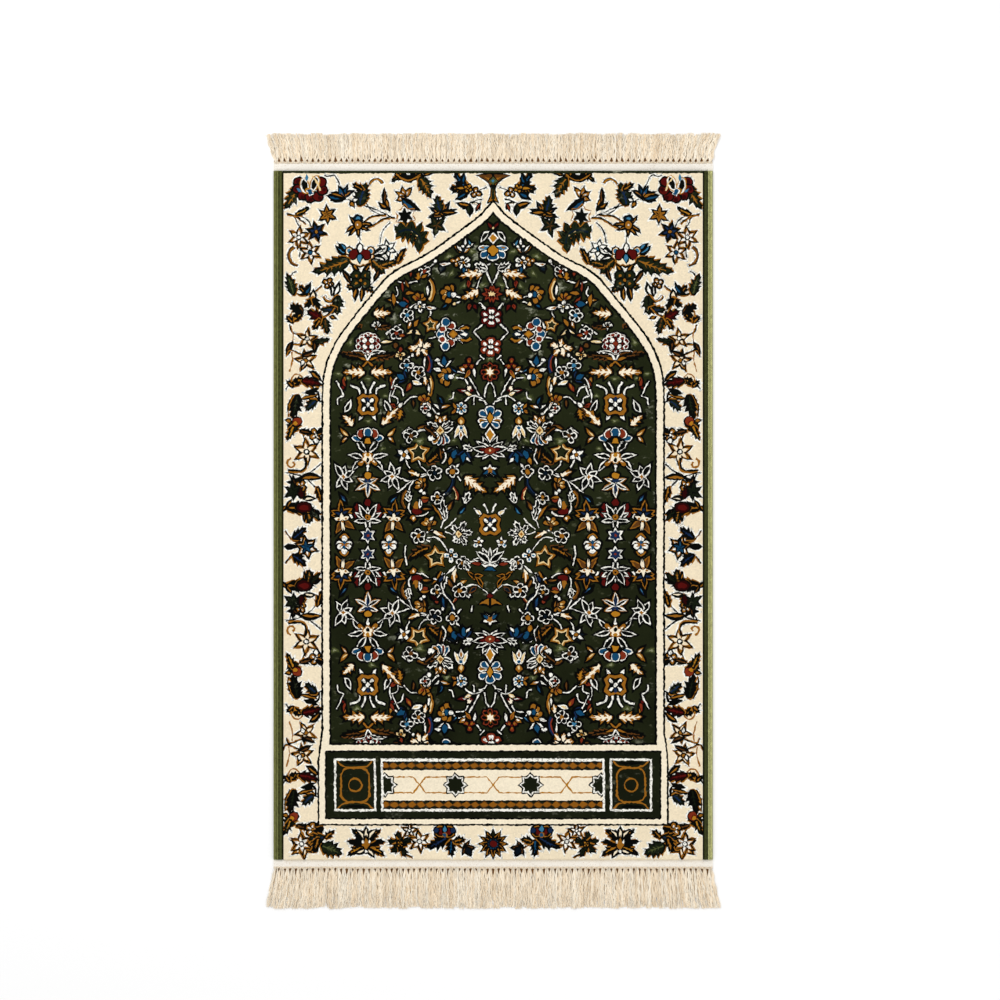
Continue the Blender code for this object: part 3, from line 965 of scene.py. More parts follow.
def footBorder(pen):
    place(pen, (starFlower, -305, -523, 8, 18), (starFlower, -133, -502, 0, 12, 5),
        (starFlower, -117, -519, 14), (quatre, -288, -500, 20, 12, ochre, white, 5),
        (darkLeaf, -272, -498, 130, 22, 11, 3, 0, ink, ink),
        (darkLeaf, -270, -512, 104, 24, 15, 3, 3, blue, navy), (darkLeaf, -266, -513, -40, 16, 8, 2, 2, rust),
        (darkLeaf, -278, -514, 168, 24, 15, 3, 3, night),
        (darkLeaf, -272, -526, -108, 36, 28, 4, 3, bottle, olive, rust), (footPalmette, -202, -521, 0),
        (twin, 0, 0, 0, (-148, -528, -140, -538, -128, -544)))
    for turn, long in ((18, 18), (80, 18), (140, 17), (210, 19), (-62, 17)):
        darkLeaf(pen.at(-148, -523, turn), long, 11, 2, 2, bottle, ink)
    place(pen, (quatre, -148, -523, 0, 5, gold, ochre), (sweepPalmette, -77, -504, 0),
        (sunRosette, 0, -523, 0))
def twigFlower(pen, radius=12, tip=ochre, heart=brick):
    for turn in (-64, -22, 24, 68):
        pen.at(turn=turn).lay(petal(radius, radius * 0.5), (1.7, ink), tip)
        pen.at(turn=turn, y=1).lay(leaf(radius * 0.66, radius * 0.22, steps=3), heart)
    pen.at(turn=180).lay(leaf(radius * 0.7, radius * 0.36), (1.5, ink), tip)
    pen.lay(disc(radius * 0.24, count=6), (0.8, ink), rust)


def petalFlower(pen, radius=13, count=5, heart=ochre, line=white, fill=ink):
    # round petals drawn as white loops
    for part in pen.round(count):
        part.lay(petal(radius - 2, radius * 0.56), (2.6, ink), (1.4, line), fill)
    pen.lay(scallop(5, radius * 0.3, 0.8), heart)


def fieldStar(pen, radius=17, line=ochre, count=5):
    pen.lay(star(count, radius, radius * 0.56), (2.6, ink), (1.3, line), (-0.1, straw), (-0.26, ink),
        (-0.5, moss))


def redLoops(pen, radius=15):
    for part in pen.round(8):
        part.at(y=radius * 0.62).lay(disc(radius * 0.2, radius * 0.3, count=7), (2.6, ink), (1.5, brick), ink)
    pen.lay(star(6, radius * 0.46, radius * 0.24), (1.2, ochre), cream)


def pomegranate(pen):
    # red and ochre fruit in a white-lined cup
    vines(pen, [(-12, 14, -13, 2, -4, -7, 8, -8, 18, -2)], 2.0)
    pen.lay(disc(8.4, 6, count=10), (2.0, ink), red)
    blades(pen.at(y=3), [(8, 13, 8, 0), (52, 9, 5, 0), (-40, 10, 5, 0)], ochre)
    hook(pen.at(7, 2, -72), 17, 7, 5, rust, ochre)
    outlineLeaf(pen.at(4, 6, -20), 13, 6, -3)
    blades(pen.at(-5, -8), [(170, 10, 9, 0), (120, 9, 5, 0)], *inked(ochre))
    pen.at(-5, -9, 170).lay(leaf(6, 3.6), cream)


def seatedLeaf(pen, length=34, width=12, bend=3):
    # half white-lined, half ochre
    wavyLeaf(pen.at(2, 0), length, width, 3, bend)
    pen.at(-4, 1, 6).lay(leaf(length * 0.9, 3, -bend * 2), (1.6, ink), ochre)


def centreColumn(pen):
    # the middle stems of the field, top half; most of it comes back below the medallion
    for fold in (pen, pen.mirrored(-47)):
        for side in (-1, 1):
            vines(fold, [(4 * side, 400, 10 * side, 397, 8 * side, 384, 0, 366),
                (18 * side, 338, 10 * side, 328), (14 * side, 304, 22 * side, 296),
                (0, 213, 6 * side, 204, 9 * side, 188), (5 * side, 176, 14 * side, 186, 28 * side, 190,
                40 * side, 182), (25 * side, 188, 26 * side, 176), (8 * side, 181, 18 * side, 184),
                (10 * side, 248, 17 * side, 255)], 1.9)
            wavyLeaf(fold.at(8 * side, 392, -78 * side), 22, 14, 3, 3)
            outlineLeaf(fold.at(8 * side, 451, -135 * side), 19, 9, 3 * side)
            blade(fold.at(1 * side, 457, -50 * side), 11, 4, 2, red)
        cupFlower(fold.at(0, 421))
        diamond(fold.at(0, 441))
        dot(fold.at(0, 457), 1.6, straw)
        redRose = fold.at(-2, 352)
        blades(redRose, [(45 * k, 14, 6, 0) for k in range(8)], (1.6, ink), brick)
        blades(redRose, [(45 * k, 10, 3.6, 0) for k in range(8)], wine)
        redRose.lay(star(5, 4.6, 2.2), straw)
        for y in (315, 268):
            rosette(fold.at(-2, y), 15.5, 6, red if y > 300 else brick, white, white)
        redLoops(fold.at(0, 228))
        for side in (-1, 1):
            fold.at(4 * side, 158, -66 * side).lay(petal(14, 9), *lined(blue))
            fold.at(4 * side, 150, -88 * side).lay(petal(14, 6), *lined(ochre))
            fold.at(3 * side, 148, -122 * side).lay(petal(13, 8), *lined(blue))
        fold.at(0, 158).lay(petal(15, 13), *lined(blue))
        fold.at(0, 155).lay([(0, -9), (5, 0), (0, 9), (-5, 0)], (1.6, ink), gold)
        serratedPalmette(fold.at(0, 103))
        diamond(fold.at(0, 128), 12, 19)
        blades(fold.at(0, 72), [(0, 9, 6, 0), *pair((72, 11, 6, 0), (144, 11, 6, 0))], (2.0, ink), white)
        blades(fold.at(0, 72), pair((124, 13, 5, 0)), *inked(blue))
        fold.at(0, 72).lay(star(5, 6, 3), ochre)


def heartColumn(pen):
    # the middle medallion and lotus, which stand once
    for side in (-1, 1):
        frond(pen.at(40 * side, 61, 131 * side), 42, 24, 4, 4 * side)
        vines(pen, [(3 * side, 4, 6 * side, 12, 10 * side, 18), (16 * side, -2, 18 * side, 6, 26 * side, 11),
            (1 * side, -127, 14 * side, -115, 27 * side, -110, 38 * side, -114),
            (22 * side, -74, 32 * side, -74)], 2.2)
        outlineLeaf(pen.at(13 * side, 1, -55 * side), 13, 6, 0, straw)
        smallFlower(pen.at(18 * side, -43))
        dot(pen.at(23 * side, -48), 2, sky, white)
        for x, y, turn, long, bend in ((25, -101, 20, 14, -6), (24, -98, -60, 11, 4), (13, -113, 12, 17, -7)):
            pen.at(x * side, y, -turn * side).lay(leaf(long, 5, -bend * side), (2.6, ink), (1.3, ochre), ink)
        outlineLeaf(pen.at(22 * side, -114, -130 * side), 15, 8, 0, night, rust)
        pen.at(2 * side, -136).lay([(0, 4), (6 * side, 1), (16 * side, -6), (7 * side, -4), (0, -7)],
            (2.0, ink), ochre)
    butterfly(pen.at(0, -15), False)
    lotus(pen.at(0, -76))
    blade(pen.at(0, -132), 8, 9, 0, red)


def sideColumn(pen):
    for fold in (pen, pen.mirrored(-47)):
        column = fold.at(-197, 0)
        peonyRosette(column.at(0, 273))
        wingSpray(column.at(0, 256))
        for side in (-1, 1):
            frond(column.at(8 * side, 320, -88 * side), 29, 20, 3, -2 * side)
            place(column, (darkLeaf, 14 * side, 300, -78 * side, 20, 6, 3, 2, ink, rust, rust),
                (frond, 5 * side, 227, -84 * side, 36, 22, 3, 4 * side),
                (blade, 40 * side, 208, 12 * side, 13, 5, 0, ochre, straw),
                (blade, 38 * side, 204, -16 * side, 15, 4, 2, brick), (dot, 41 * side, 203, 0, 2.4, red),
                (outlineLeaf, 38 * side, 165, 42 * side, 20, 10, 4 * side),
                (frond, 24 * side, 143, -38 * side, 24 if side < 0 else 46, 16, 3, 4 * side),
                (blade, 32 * side, 126, -62 * side, 18, 6, -5 * side, ochre, straw),
                (blade, 34 * side, 124, -120 * side, 12, 5, 3 * side, ochre, white))
            vines(column, [(52 * side, 214, 46 * side, 204, 40 * side, 190),
                (40 * side, 190, 49 * side, 186, 50 * side, 176)])
            leafFlower(column.at(43 * side, 61, 86 * side))
            hook(column.at(36 * side, 20, (-42 if side > 0 else 42)), 17, 7, 2, navy, sky)
            bellFlower(column.at(43 * side, 0, -6 * side))
            vines(column, [(26 * side, -4, 30 * side, 2)], 2.4)
        butterfly(column.at(0, 176))
        crown(column.at(0, 100))
        fanPalmette(column.at(0, 120))
        stem(column, (0, 78, 0, 70))
        starLily(column.at(0, 52))
        squarePalmette(column.at(0, 0))
        for side in (-1, 1):
            stem(column, (4 * side, -10, 3 * side, -19), 2.2, white, ink)
        bloom = column.at(0, -32)
        blades(bloom, [(60 * k, 13, 7, 0) for k in range(6)], (1.4, ink), white)
        bloom.lay(star(6, 9.5, 6), navy)
        dot(bloom, 2.2, brick, navy)
    for side in (-1, 1):
        bloom = pen.at(-199 + 37 * side, -47)
        for turn, long, wide in ((0, 15, 9), (180, 15, 9), (78, 13, 9), (-78, 13, 9), (112, 12, 8),
                (-112, 12, 8)):
            bloom.at(turn=turn).lay(petal(long, wide), (2.0, ink), white)
        for turn, long in ((-70, 9), (70, 9), (110, 9), (-110, 9)):
            bloom.at(turn=turn).lay(leaf(long, 3), ochre)
        for turn in (0, 180):
            bloom.at(turn=turn).lay(ribbon((-7, 11, -4, 15, 0, 17, 4, 15, 7, 11), 2.6), (1.0, ink), ochre)
        bloom.lay(leaf(8, 5), blue)
        bloom.at(turn=180).lay(leaf(8, 5), blue)


def vineField(pen):
    # the winding sprays between the two columns, drawn for the upper half and folded below
    vines(pen, [(-60, 350, -46, 346, -28, 356, -15, 388), (-112, 392, -98, 396, -90, 404),
        (-150, 372, -138, 369, -118, 373), (-153, 364, -150, 352, -158, 346), (-156, 346, -148, 336),
        (-20, 338, -12, 328), (-130, 330, -120, 336, -112, 334), (-42, 390, -30, 388, -14, 390),
        (-50, 340, -60, 336), (-98, 330, -96, 322, -100, 314), (-168, 288, -158, 296, -144, 303),
        (-28, 291, -22, 298, -16, 304), (-28, 291, -20, 284, -15, 277), (-62, 288, -44, 302),
        (-62, 288, -44, 274), (-98, 281, -86, 284), (-92, 298, -86, 288), (-157, 202, -152, 216, -140, 222),
        (-154, 206, -142, 202, -138, 190), (-158, 200, -161, 188, -159, 175),
        (-137, 177, -126, 188, -112, 188), (-104, 178, -92, 170, -84, 160), (-60, 222, -50, 229, -36, 224),
        (-54, 219, -40, 217, -34, 206), (-36, 224, -26, 208, -17, 190), (-58, 196, -60, 186, -66, 184),
        (-22, 240, -16, 248), (-98, 66, -116, 66, -130, 78, -134, 90),
        (-98, 66, -112, 60, -126, 54, -150, 62), (-126, 54, -140, 42, -148, 36),
        (-122, 56, -128, 44, -130, 38), (-100, 70, -110, 78, -114, 88), (-76, 82, -70, 92, -74, 106),
        (-66, 106, -52, 108), (-68, 104, -60, 98), (-52, 62, -46, 55), (-30, 60, -28, 50),
        (-62, 40, -70, 36, -78, 28), (-128, 252, -138, 244, -136, 232), (-60, 352, -64, 350),
        (-140, 130, -128, 140)])
    place(pen, (tulip, -48, 417, 0), (dot, -48, 428, 0, 2.2), (blade, -50, 420, 40), (blade, -42, 426, -60),
        (blade, -44, 430, 0, 11), (blade, -36, 430, 20, 8, 3, 0, sky),
        (quatre, -46, 402, 20, 11, white, ink, 5, 0, ochre), (blade, -46, 394, 180, 8, 5, 0, blue),
        (quatre, -59, 404, 30, 8, ochre, cream, 3), (blade, -82, 388, -16, 13, 7, 0, night),
        (blade, -84, 400, -100, 17, 5, -4, white, ochre), (dot, -91, 404, 0),
        (frond, -16, 386, 94, 38, 20, 3, -4), (blade, -38, 374, 190, 12, 6, 2, brick, red),
        (petalFlower, -108, 388, 12, 11, 5, brick), (darkLeaf, -118, 374, 0, 13, 11, 2, 0, ochre, gold),
        (blade, -112, 378, -60, 10, 5, 0, ochre), (crescent, -120, 358, 0, 27, 6, ochre, straw, -38, 42),
        (blade, -102, 366, 170, 16, 4, -3), (pansy, -65, 351, 84), (frond, -22, 358, 122, 30, 18, 3, 3),
        (blade, -34, 336, 160, 9, 5, 0, brick, red), (blade, -28, 336, 200, 10, 5, 0, red),
        (hook, -70, 334, 120, 9, 5, 0, blue), (dot, -60, 336, 0, 2.6, straw),
        (blade, -130, 380, 0, 13, 4, 0, brick), (blade, -132, 362, 40, 14, 4, 3, rust, ochre),
        (blade, -138, 352, -70, 14, 5, 3, ochre), (blade, -142, 356, 10, 16, 3, 2, brick),
        (twigFlower, -116, 342, -10), (quatre, -114, 332, 0, 9, white, ink, 4, 10, straw),
        (blade, -104, 332, -120, 16, 6, -6, white, ochre), (hook, -152, 342, 100, 15, 6, 3, ochre, straw),
        (blade, -158, 352, 196, 20, 6, 4, ochre), (bud, -132, 336, 90, 15, blue, brick),
        (fieldStar, -96, 303, 8, 10), (petalFlower, -134, 318, 20, 12, 5, sky),
        (blade, -128, 308, 160, 12, 5, 0, ochre, white), (blade, -122, 300, -20, 13, 5, 2, ochre),
        (tulip, -122, 296, 174, 13, ink, straw), (sidePalmette, -71, 288, 90), (dot, -84, 300, 0, 3.4),
        (blade, -86, 296, -20), (petalFlower, -151, 290, 0, 12, 5, brick),
        (blade, -146, 286, -90, 10, 5, 0, brick, ochre), (dot, -152, 270, 0, 3.6, rust),
        (blade, -176, 275, -80, 18, 5, 2, straw, white), (twigFlower, -184, 300, 0, 8, white, ink))
    place(pen, (frond, -112, 266, 86, 19, 17, 2, -2), (frond, -110, 266, -60, 17, 16, 2),
        (frond, -114, 266, 176, 14, 12, 2), (frond, -110, 268, 22), (frond, -110, 264, -128, 15),
        (quatre, -144, 255, 10, 8, straw, ink, 4, 0, ochre), (blade, -144, 260, -10, 8, 5, 0, brick),
        (dot, -124, 255, 0, 2.4), (petalFlower, -133, 238, 0, 12, 4, sky),
        (blade, -134, 234, 180, 14, 6, 0, night, sky), (crescent, -118, 240, 0, 24, 6, navy, brick, -32),
        (blade, -104, 252, 172, 18, 3, -2), (petalFlower, -114, 227, 30, 12),
        (blade, -124, 214, -118, 18, 8, -3, white, straw), (bud, -134, 216, 62, 15, blue, navy),
        (frond, -104, 220, -166, 14, 10, 1, 1), (crescent, -128, 208, 0, 36, 5, ochre, straw, -30, 22),
        (blade, -96, 196, 16, 13, 4, 2), (blade, -126, 210, 160, 15, 6, 3, brick, ochre),
        (pansy, -66, 220, 92), (blade, -80, 246, 88, 9, 8), (blade, -78, 230, 76, 13, 6),
        (bud, -72, 236, 8, 15, blue, white), (quatre, -34, 240, 0, 10, brick, ochre, 3, 0, red),
        (blade, -40, 230, 60, 11, 7, 0, ochre, white), (blade, -32, 232, 160, 16, 6, 3, ochre, brick),
        (blade, -26, 234, -170, 14), (hook, -52, 226, 60, 14, 5, 3, navy, sky),
        (frond, -34, 206, 186, 14, 14, 1, 0, red), (blade, -36, 198, 94, 16, 5, 2, red, white),
        (blade, -40, 196, -110, 15, 5, 3, straw, white), (rosette, -46, 170, 0),
        (blade, -54, 170, 30, 9, 4, 0, ochre), (blade, -54, 168, 130, 9, 4, 0, ochre, brick),
        (tulip, -78, 168, 0, 13, night, white), (hook, -76, 176, 14, 14, 6, -3, blue, navy),
        (blade, -78, 170, -60, 15, 5, 3, ochre, white), (dot, -83, 160, 0, 3), (dot, -97, 160, 30, 3.4),
        (twigFlower, -106, 180, -30), (petalFlower, -103, 170, 0, 9, 4, brick),
        (blade, -100, 180, -140, 14, 4, 3, white, ochre), (blade, -122, 184, 190, 12, 3, 2, rust),
        (darkLeaf, -142, 168, 168, 16, 12, 3, 0, ochre, gold, rust),
        (blade, -150, 172, 60, 11, 6, 0, brick, wine), (blade, -146, 172, -40, 10, 6))
    fan = pen.at(-79, 134)
    for turn, fill in ((-146, blue), (-168, brick), (172, blue), (150, ochre), (128, white)):
        fan.at(turn=turn).lay(petal(22, 8), *lined(fill))
    place(fan, (wavyLeaf, 3, 4, -58), (wavyLeaf, -3, 4, 62), (outlineLeaf, 3, 0, -84, 18, 8, -3),
        (outlineLeaf, -3, 0, 88, 18, 8, 3), (frond, 0, 12, -34, 16, 12, 1, 0.0),
        (frond, 0, 12, 30, 15, 12, 1, 0.0), (blade, 0, 12, 0, 11, 8, 0, ochre, white),
        (diamond, 0, 1, 0, 7, 8, ochre, straw))
    place(pen, (blade, -46, 144, 0, 13, 11, 0, ochre, straw), (outlineLeaf, -50, 142, 172, 20, 7, 3, straw),
        (outlineLeaf, -42, 142, 188, 20, 7, -3, straw), (outlineLeaf, -46, 134, 180, 14, 7, 0, ochre),
        (dot, -46, 139, 0, 2.8, blue, white), (petalFlower, -126, 126, 12, 13, 5, rust),
        (crescent, -104, 124, 90, 18, 4, rust, ochre), (crescent, -106, 122, 90),
        (darkLeaf, -104, 140, -120, 26, 10, 3, 6, ink, rust), (smallFlower, -137, 96, 20, 12, 5, night),
        (smallFlower, -137, 96, 56, 12, 4), (fieldStar, -114, 100, 0),
        (darkLeaf, -98, 84, -56, 30, 12, 4, -6, ink, ochre, rust), (hook, -78, 86, 2, 24, 6, -4, rust, ochre),
        (petalFlower, -88, 67, 10), (dot, -88, 67, 0, 3.4, night), (bud, -54, 106, 160, 16, blue, night),
        (bud, -40, 102, 170, 16, blue, navy), (blade, -38, 92, -140, 10),
        (blade, -63, 92, 180, 12, 7, 2, ochre, gold), (wavyLeaf, -28, 104, 66, 16, 8),
        (frond, -112, 64, 78, 20, 11), (petalFlower, -60, 70, 0, 11, 4), (dot, -60, 69, 0, 4.4, ochre),
        (blade, -54, 76, -40, 8, 3), (twigFlower, -108, 48, 40, 12, ochre, straw),
        (hook, -102, 54, 176, 16, 6, 3, rust, ochre), (dot, -110, 39, 0), (dot, -105, 35, 0),
        (dot, -104, 26, 0, 6, brick), (blade, -110, 28, -80, 13, 4, 4, ochre),
        (crescent, -84, 56, 0, 26, 5, night, navy, -62, 8),
        (crescent, -72, 30, 0, 20, 4, brick, straw, -16, 50), (petalFlower, -84, 27, 0, 11, 4, straw),
        (dot, -84, 29, 0, 2.6, ochre), (wavyLeaf, -39, 19, -10, 19, 10, 2, 2),
        (hook, -50, 2, -50, 16, 6, -3, blue, sky), (seatedLeaf, -72, -8, 16),
        (blade, -66, 8, -10, 16, 5, 5, rust, ochre), (pomegranate, -116, 7, 0),
        (wavyLeaf, -128, 22, 16, 17, 9, 2, 2), (crescent, -120, 24, 0, 20, 4, rust, ochre, 130, 220),
        (sheenPatch, -112, 118, 0))


def heartField(pen):
    # sprays beside the middle medallion, drawn once
    vines(pen, [(-104, -30, -92, -24, -78, -28), (-100, -36, -84, -36, -70, -52, -66, -60),
        (-78, -20, -74, -10, -70, -6), (-72, -22, -60, -12, -54, -4), (-72, -26, -60, -30, -52, -30),
        (-104, -38, -96, -42), (-134, -48, -136, -62, -132, -80),
        (-72, -92, -78, -104, -74, -124, -62, -138, -56, -150), (-90, -100, -76, -106)])
    place(pen, (wavyLeaf, -48, -30, -20, 22, 12), (wavyLeaf, -48, -30, -82), (wavyLeaf, -48, -30, 40, 19),
        (wavyLeaf, -50, -32, -140), (wavyLeaf, -50, -32, 150, 14, 9),
        (diamond, -50, -30, 0, 5, 6, ochre, straw), (frond, -90, -26, -112, 22, 10),
        (petalFlower, -114, -33, 8), (fieldStar, -86, -67, 6), (rosette, -62, -64, 0, 11, 4),
        (twigFlower, -97, -16, 0, 13, ochre, straw), (blade, -96, -8, -50, 9),
        (frond, -56, -84, 170, 24, 12, 1, -4), (blade, -54, -80, 140, 22, 4, 4),
        (darkLeaf, -98, -52, 106, 34, 12, 4, -8, ink, ochre, rust), (petalFlower, -43, -76, 0, 12),
        (wavyLeaf, -40, -72, -160, 17, 9), (blade, -48, -108, -70, 12, 6, 0, ochre, straw),
        (petalFlower, -48, -120, 0), (hook, -82, -108, -20, 14, 7, 3, navy),
        (hook, -76, -128, 200, 24, 9, 5, navy, blue), (dot, -85, -137, 0, 3, brick),
        (blade, -84, -134, 60, 12, 6, 0, wine), (dot, -75, -149, 0, 2.4))


def field(pen):
    # pale patches of painted sheen on the green ground
    for x, y, wide, turn in ((-70, 412, 16, 20), (-33, 420, 13, -30), (-65, 385, 12, 50), (-105, 358, 11, 80),
            (-45, 365, 12, 40), (-15, 366, 13, 20), (-83, 246, 13, 10), (-2, 250, 12, 80), (-62, 187, 15, 5),
            (-55, 219, 13, 40), (-178, 278, 15, 30), (-226, 275, 14, 60), (-172, 106, 10, 30),
            (-196, 217, 12, 0), (-230, 218, 10, 0), (-58, 119, 11, 20), (-30, -8, 12, 80),
            (-108, -90, 14, -30), (-190, -238, 14, -20), (-68, -258, 14, 20), (-104, -275, 12, -40),
            (-215, -308, 16, 10), (-252, -215, 15, 0), (-196, 150, 12, 0), (-168, 190, 9, 0),
            (-245, 225, 12, 0)):
        sheenPatch(pen.at(x, y), wide, wide * 0.55, turn)
    vineField(pen.mirrored(-47))
    sideColumn(pen)
    pen.lay([(-76, -6), (-110, -10), (-110, -48), (-76, -92), (0, -140), (0, -47), (0, 20)], moss)
    vineField(pen)
    heartField(pen)
    centreColumn(pen)
    heartColumn(pen)


def panel(pen):
    pen.lay(box(-265, -481, 265, -377), (2.6, ink), shade)
    pen.lay(box(-253, -471, -186, -387), white)
    pen.lay(box(-249.7, -467.7, -189.3, -390.3), shade)
    cell = pen.at(-219.5, -429)
    for turn in (0, 180):
        part = cell.at(turn=turn)
        part.lay([(-22, 36.5), (22, 36.5), (10, 32), (-10, 32)], ink)
        part.lay(ribbon((-28, 38, -19, 30, 0, 27.5, 19, 30, 28, 38), 2.4), ochre)
    side = [(22.5, -17), (22.5, 17), (19, 24), (12, 27.5)]
    frame = side + [(-x, y) for x, y in side[::-1]] + [(-x, -y) for x, y in side[1:]] + [(x, -y) for x,
        y in side[:0:-1]]
    cell.lay(frame, (0.9, ochre), (-0.065, shade))
    cell.lay(disc(11.6, count=14), ochre)
    cell.lay(disc(9.2, count=14), shade)
    pen.lay(box(-178, -471, 178, -387), white)
    pen.lay(box(-174.5, -467.5, 174.5, -391.5), cream)
    for y in (-398.5, -460.5):
        pen.lay(box(-174.5, y - 6.8, 174.5, y + 6.8), ink)
        pen.lay(box(-174.5, y - 5, 174.5, y + 5), shade)
        for k in range(13):
            blob = pen.at(-14.3 * k, y)
            blob.lay([(-7.6, 0.4), (-3.4, 2.6), (0.4, 4.6), (3.4, 3), (7, -0.4), (3.2, -2.6), (0.4, -4.2),
                (-3, -3)], (0.9, rust), amber)
    for y in (-416.5, -441.5):
        pen.lay(box(-172, y - 1, 172, y + 1), gold)
    for x in (0, -117):
        crossing = pen.at(x, -429)
        crossing.lay(box(-9.5, -13.6, 9.5, 13.6), cream)
        for side in (-1, 1):
            crossing.lay(ribbon((-9.8, -12.5 * side, 9.8, 12.5 * side), 2.1, 1, 1), gold)
    for x in (-60, -172):
        pen.at(x, -429).lay(star(8, 18, 13), (1.9, ink), white, (-0.17, ink), (-0.24, shade))
    pen.lay(box(-186, -471, -178, -387), shade)
    pen.lay(box(-189.3, -471, -186, -387), white)
    pen.lay(box(-178, -467.5, -174.5, -391.5), white)


def box(x0, y0, x1, y1):
    return [(x0, y0), (x1, y0), (x1, y1), (x0, y1)]


def archLine(growth=0.0):
    # right-hand foot, over the point and down the left side, shifted outwards by growth
    half = [(0, 500), (19, 478), (60, 446.5), (100, 418.5), (122, 405.5), (140, 397), (156, 387.5),
        (171, 375), (184, 359.5), (197, 344), (225, 310), (249, 276), (264, 243), (270.5, 212), (271.5, 180)]
    spline = [half[0]]
    for a, b, c, d in zip(half, half[1:], half[2:], half[3:]):
        for t in (0, 0.5):
            spline.append(tuple(0.5 * (2 * b[i] + (c[i] - a[i]) * t + (2 * a[i] - 5 * b[i] + 4 * c[i] - d[i])
                * t * t + (3 * b[i] - a[i] - 3 * c[i] + d[i]) * t**3) for i in (0, 1)))
    line = [*spline, half[-2], half[-1], (271.5, -364.5 - 12)]
    whole = [(-x, y) for x, y in line[:0:-1]] + line
    return grown(whole, growth) if growth > 0 else 2 * np.array(whole) - grown(whole, -growth)


def wholeDesign():
    shapes, under = [], []
    pen = Pen(shapes, under=under)
    spandrel(pen)
    sideBorder(pen)
    footBorder(pen)
    lines = Pen(shapes)
    shoulder = [(271.4, -350), (274, -372), (276.5, -392), (276.5, -491)]
    frame = shoulder + [(-x, y) for x, y in shoulder[::-1]]
    lines.lay(archLine(2.1), ink)
    lines.lay(frame, (2.9, ink), cream)
    lines.lay(archLine(-1.2), cream)
    lines.lay(archLine(-11.0), ink)
    fieldLine = archLine(-14.4)
    lines.lay(fieldLine, moss)
    zones = {"field": fieldLine}
    ground, inner = len(shapes), []
    field(Pen(shapes, zone="field", under=inner))
    shapes[ground:ground] = inner
    panel(Pen(shapes))
    lines.lay([(-334.7, 548.5), (334.7, 548.5), (334.7, 544.4), (-334.7, 545)], (1.0, ink), moss)
    lines.lay(box(-335, -549, -333.4, 549), ink)
    shapes[:0] = [(np.array(box(-334.7, -548.5, 334.7, 548.5), float), ivory, None), *under]
    return shapes, zones


pileMesh = {"simplify": 0.24, "wobble": 0.85, "stretch": 2.9, "warp": 0.25}


def contains(outline, points):
    # which points the outline winds round
    a, b = outline, np.roll(outline, -1, 0)
    x, y = points[:, 0][:, None], points[:, 1][:, None]
    up = (a[:, 1] <= y) & (b[:, 1] > y)
    down = (b[:, 1] <= y) & (a[:, 1] > y)
    side = (b[:, 0] - a[:, 0]) * (y - a[:, 1]) - (x - a[:, 0]) * (b[:, 1] - a[:, 1])
    return ((up & (side > 0)).sum(1) - (down & (side < 0)).sum(1)) != 0


def shapeAt(points, shapes, zones):
    # the number of the topmost shape over each point
    inZone = {name: contains(outline, points) for name, outline in zones.items()}
    order = np.argsort(points[:, 1])
    heights = points[order, 1]
    found = np.full(len(points), -1)
    for index, (outline, _, zone) in enumerate(shapes):
        low, high = outline.min(0), outline.max(0)
        first, last = np.searchsorted(heights, (low[1], high[1]))
        near = order[first:last]
        near = near[(points[near, 0] > low[0]) & (points[near, 0] < high[0])]
        if zone:
            near = near[inZone[zone][near]]
        if len(near):
            found[near[contains(outline, points[near])]] = index
    return found


def triangulated(points, edges):
    made = delaunay_2d_cdt([Vector(p) for p in points], edges, [], 0, 1e-4, False)
    faces = np.array([f for f in made[2] if len(f) == 3])
    return np.array([tuple(v) for v in made[0]]), faces


def colouredEdges(faces, colours, keep):
    # edges between two colours or on the border of what is kept
    sides = np.concatenate([faces[:, [0, 1]], faces[:, [1, 2]], faces[:, [2, 0]]])
    owner = np.concatenate([np.where(keep, colours, -2)] * 3)
    key = np.sort(sides, 1)
    order = np.lexsort((key[:, 1], key[:, 0]))
    key, owner = key[order], owner[order]
    same = (key[1:] == key[:-1]).all(1)
    differ = same & (owner[1:] != owner[:-1])
    return key[1:][differ]


def eased(points, edges, tolerance):
    # drops corners that hardly bend the line between their two neighbours
    around = {}
    for a, b in edges:
        around.setdefault(int(a), set()).add(int(b))
        around.setdefault(int(b), set()).add(int(a))
    for share in (0.4, 1.0, 1.0):
        for v in list(around):
            near = around.get(v)
            if near is None or len(near) != 2:
                continue
            a, b = near
            if b in around[a]:
                continue
            line = points[b] - points[a]
            off = points[v] - points[a]
            if abs(line[0] * off[1] - line[1] * off[0]) > tolerance * share * max(math.hypot(*line), 1e-6):
                continue
            around[a].remove(v)
            around[b].remove(v)
            around[a].add(b)
            around[b].add(a)
            del around[v]
    return [(a, b) for a, near in around.items() for b in near if a < b]


def stretched(points, edges, longest):
    # cuts long edges, so that straight lines can waver a little
    points, made = [tuple(p) for p in points], []
    for a, b in edges:
        start, end = np.array(points[a]), np.array(points[b])
        pieces = max(1, int(np.linalg.norm(end - start) / longest))
        last = a
        for k in range(1, pieces):
            points.append(tuple(start + (end - start) * k / pieces))
            made.append((last, len(points) - 1))
            last = len(points) - 1
        made.append((last, b))
    return np.array(points), made


def drift(points):
    # the middle stems lean a little to the left in the upper field, as the weaver's do
    y = points[:, 1]
    lean = -5.0 * np.clip((430 - y) / 200, 0, 1) * np.clip((y + 430) / 120, 0, 1)
    share = np.clip(1 - np.abs(points[:, 0]) / 262, 0, 1)
    moved = points.copy()
    moved[:, 0] += lean * np.minimum(1, 2.0 * share)
    return moved


def chain(first, count, closed=False):
    # edges that join count corners in a row
    return [(first + k, first + (k + 1) % count) for k in range(count if closed else count - 1)]


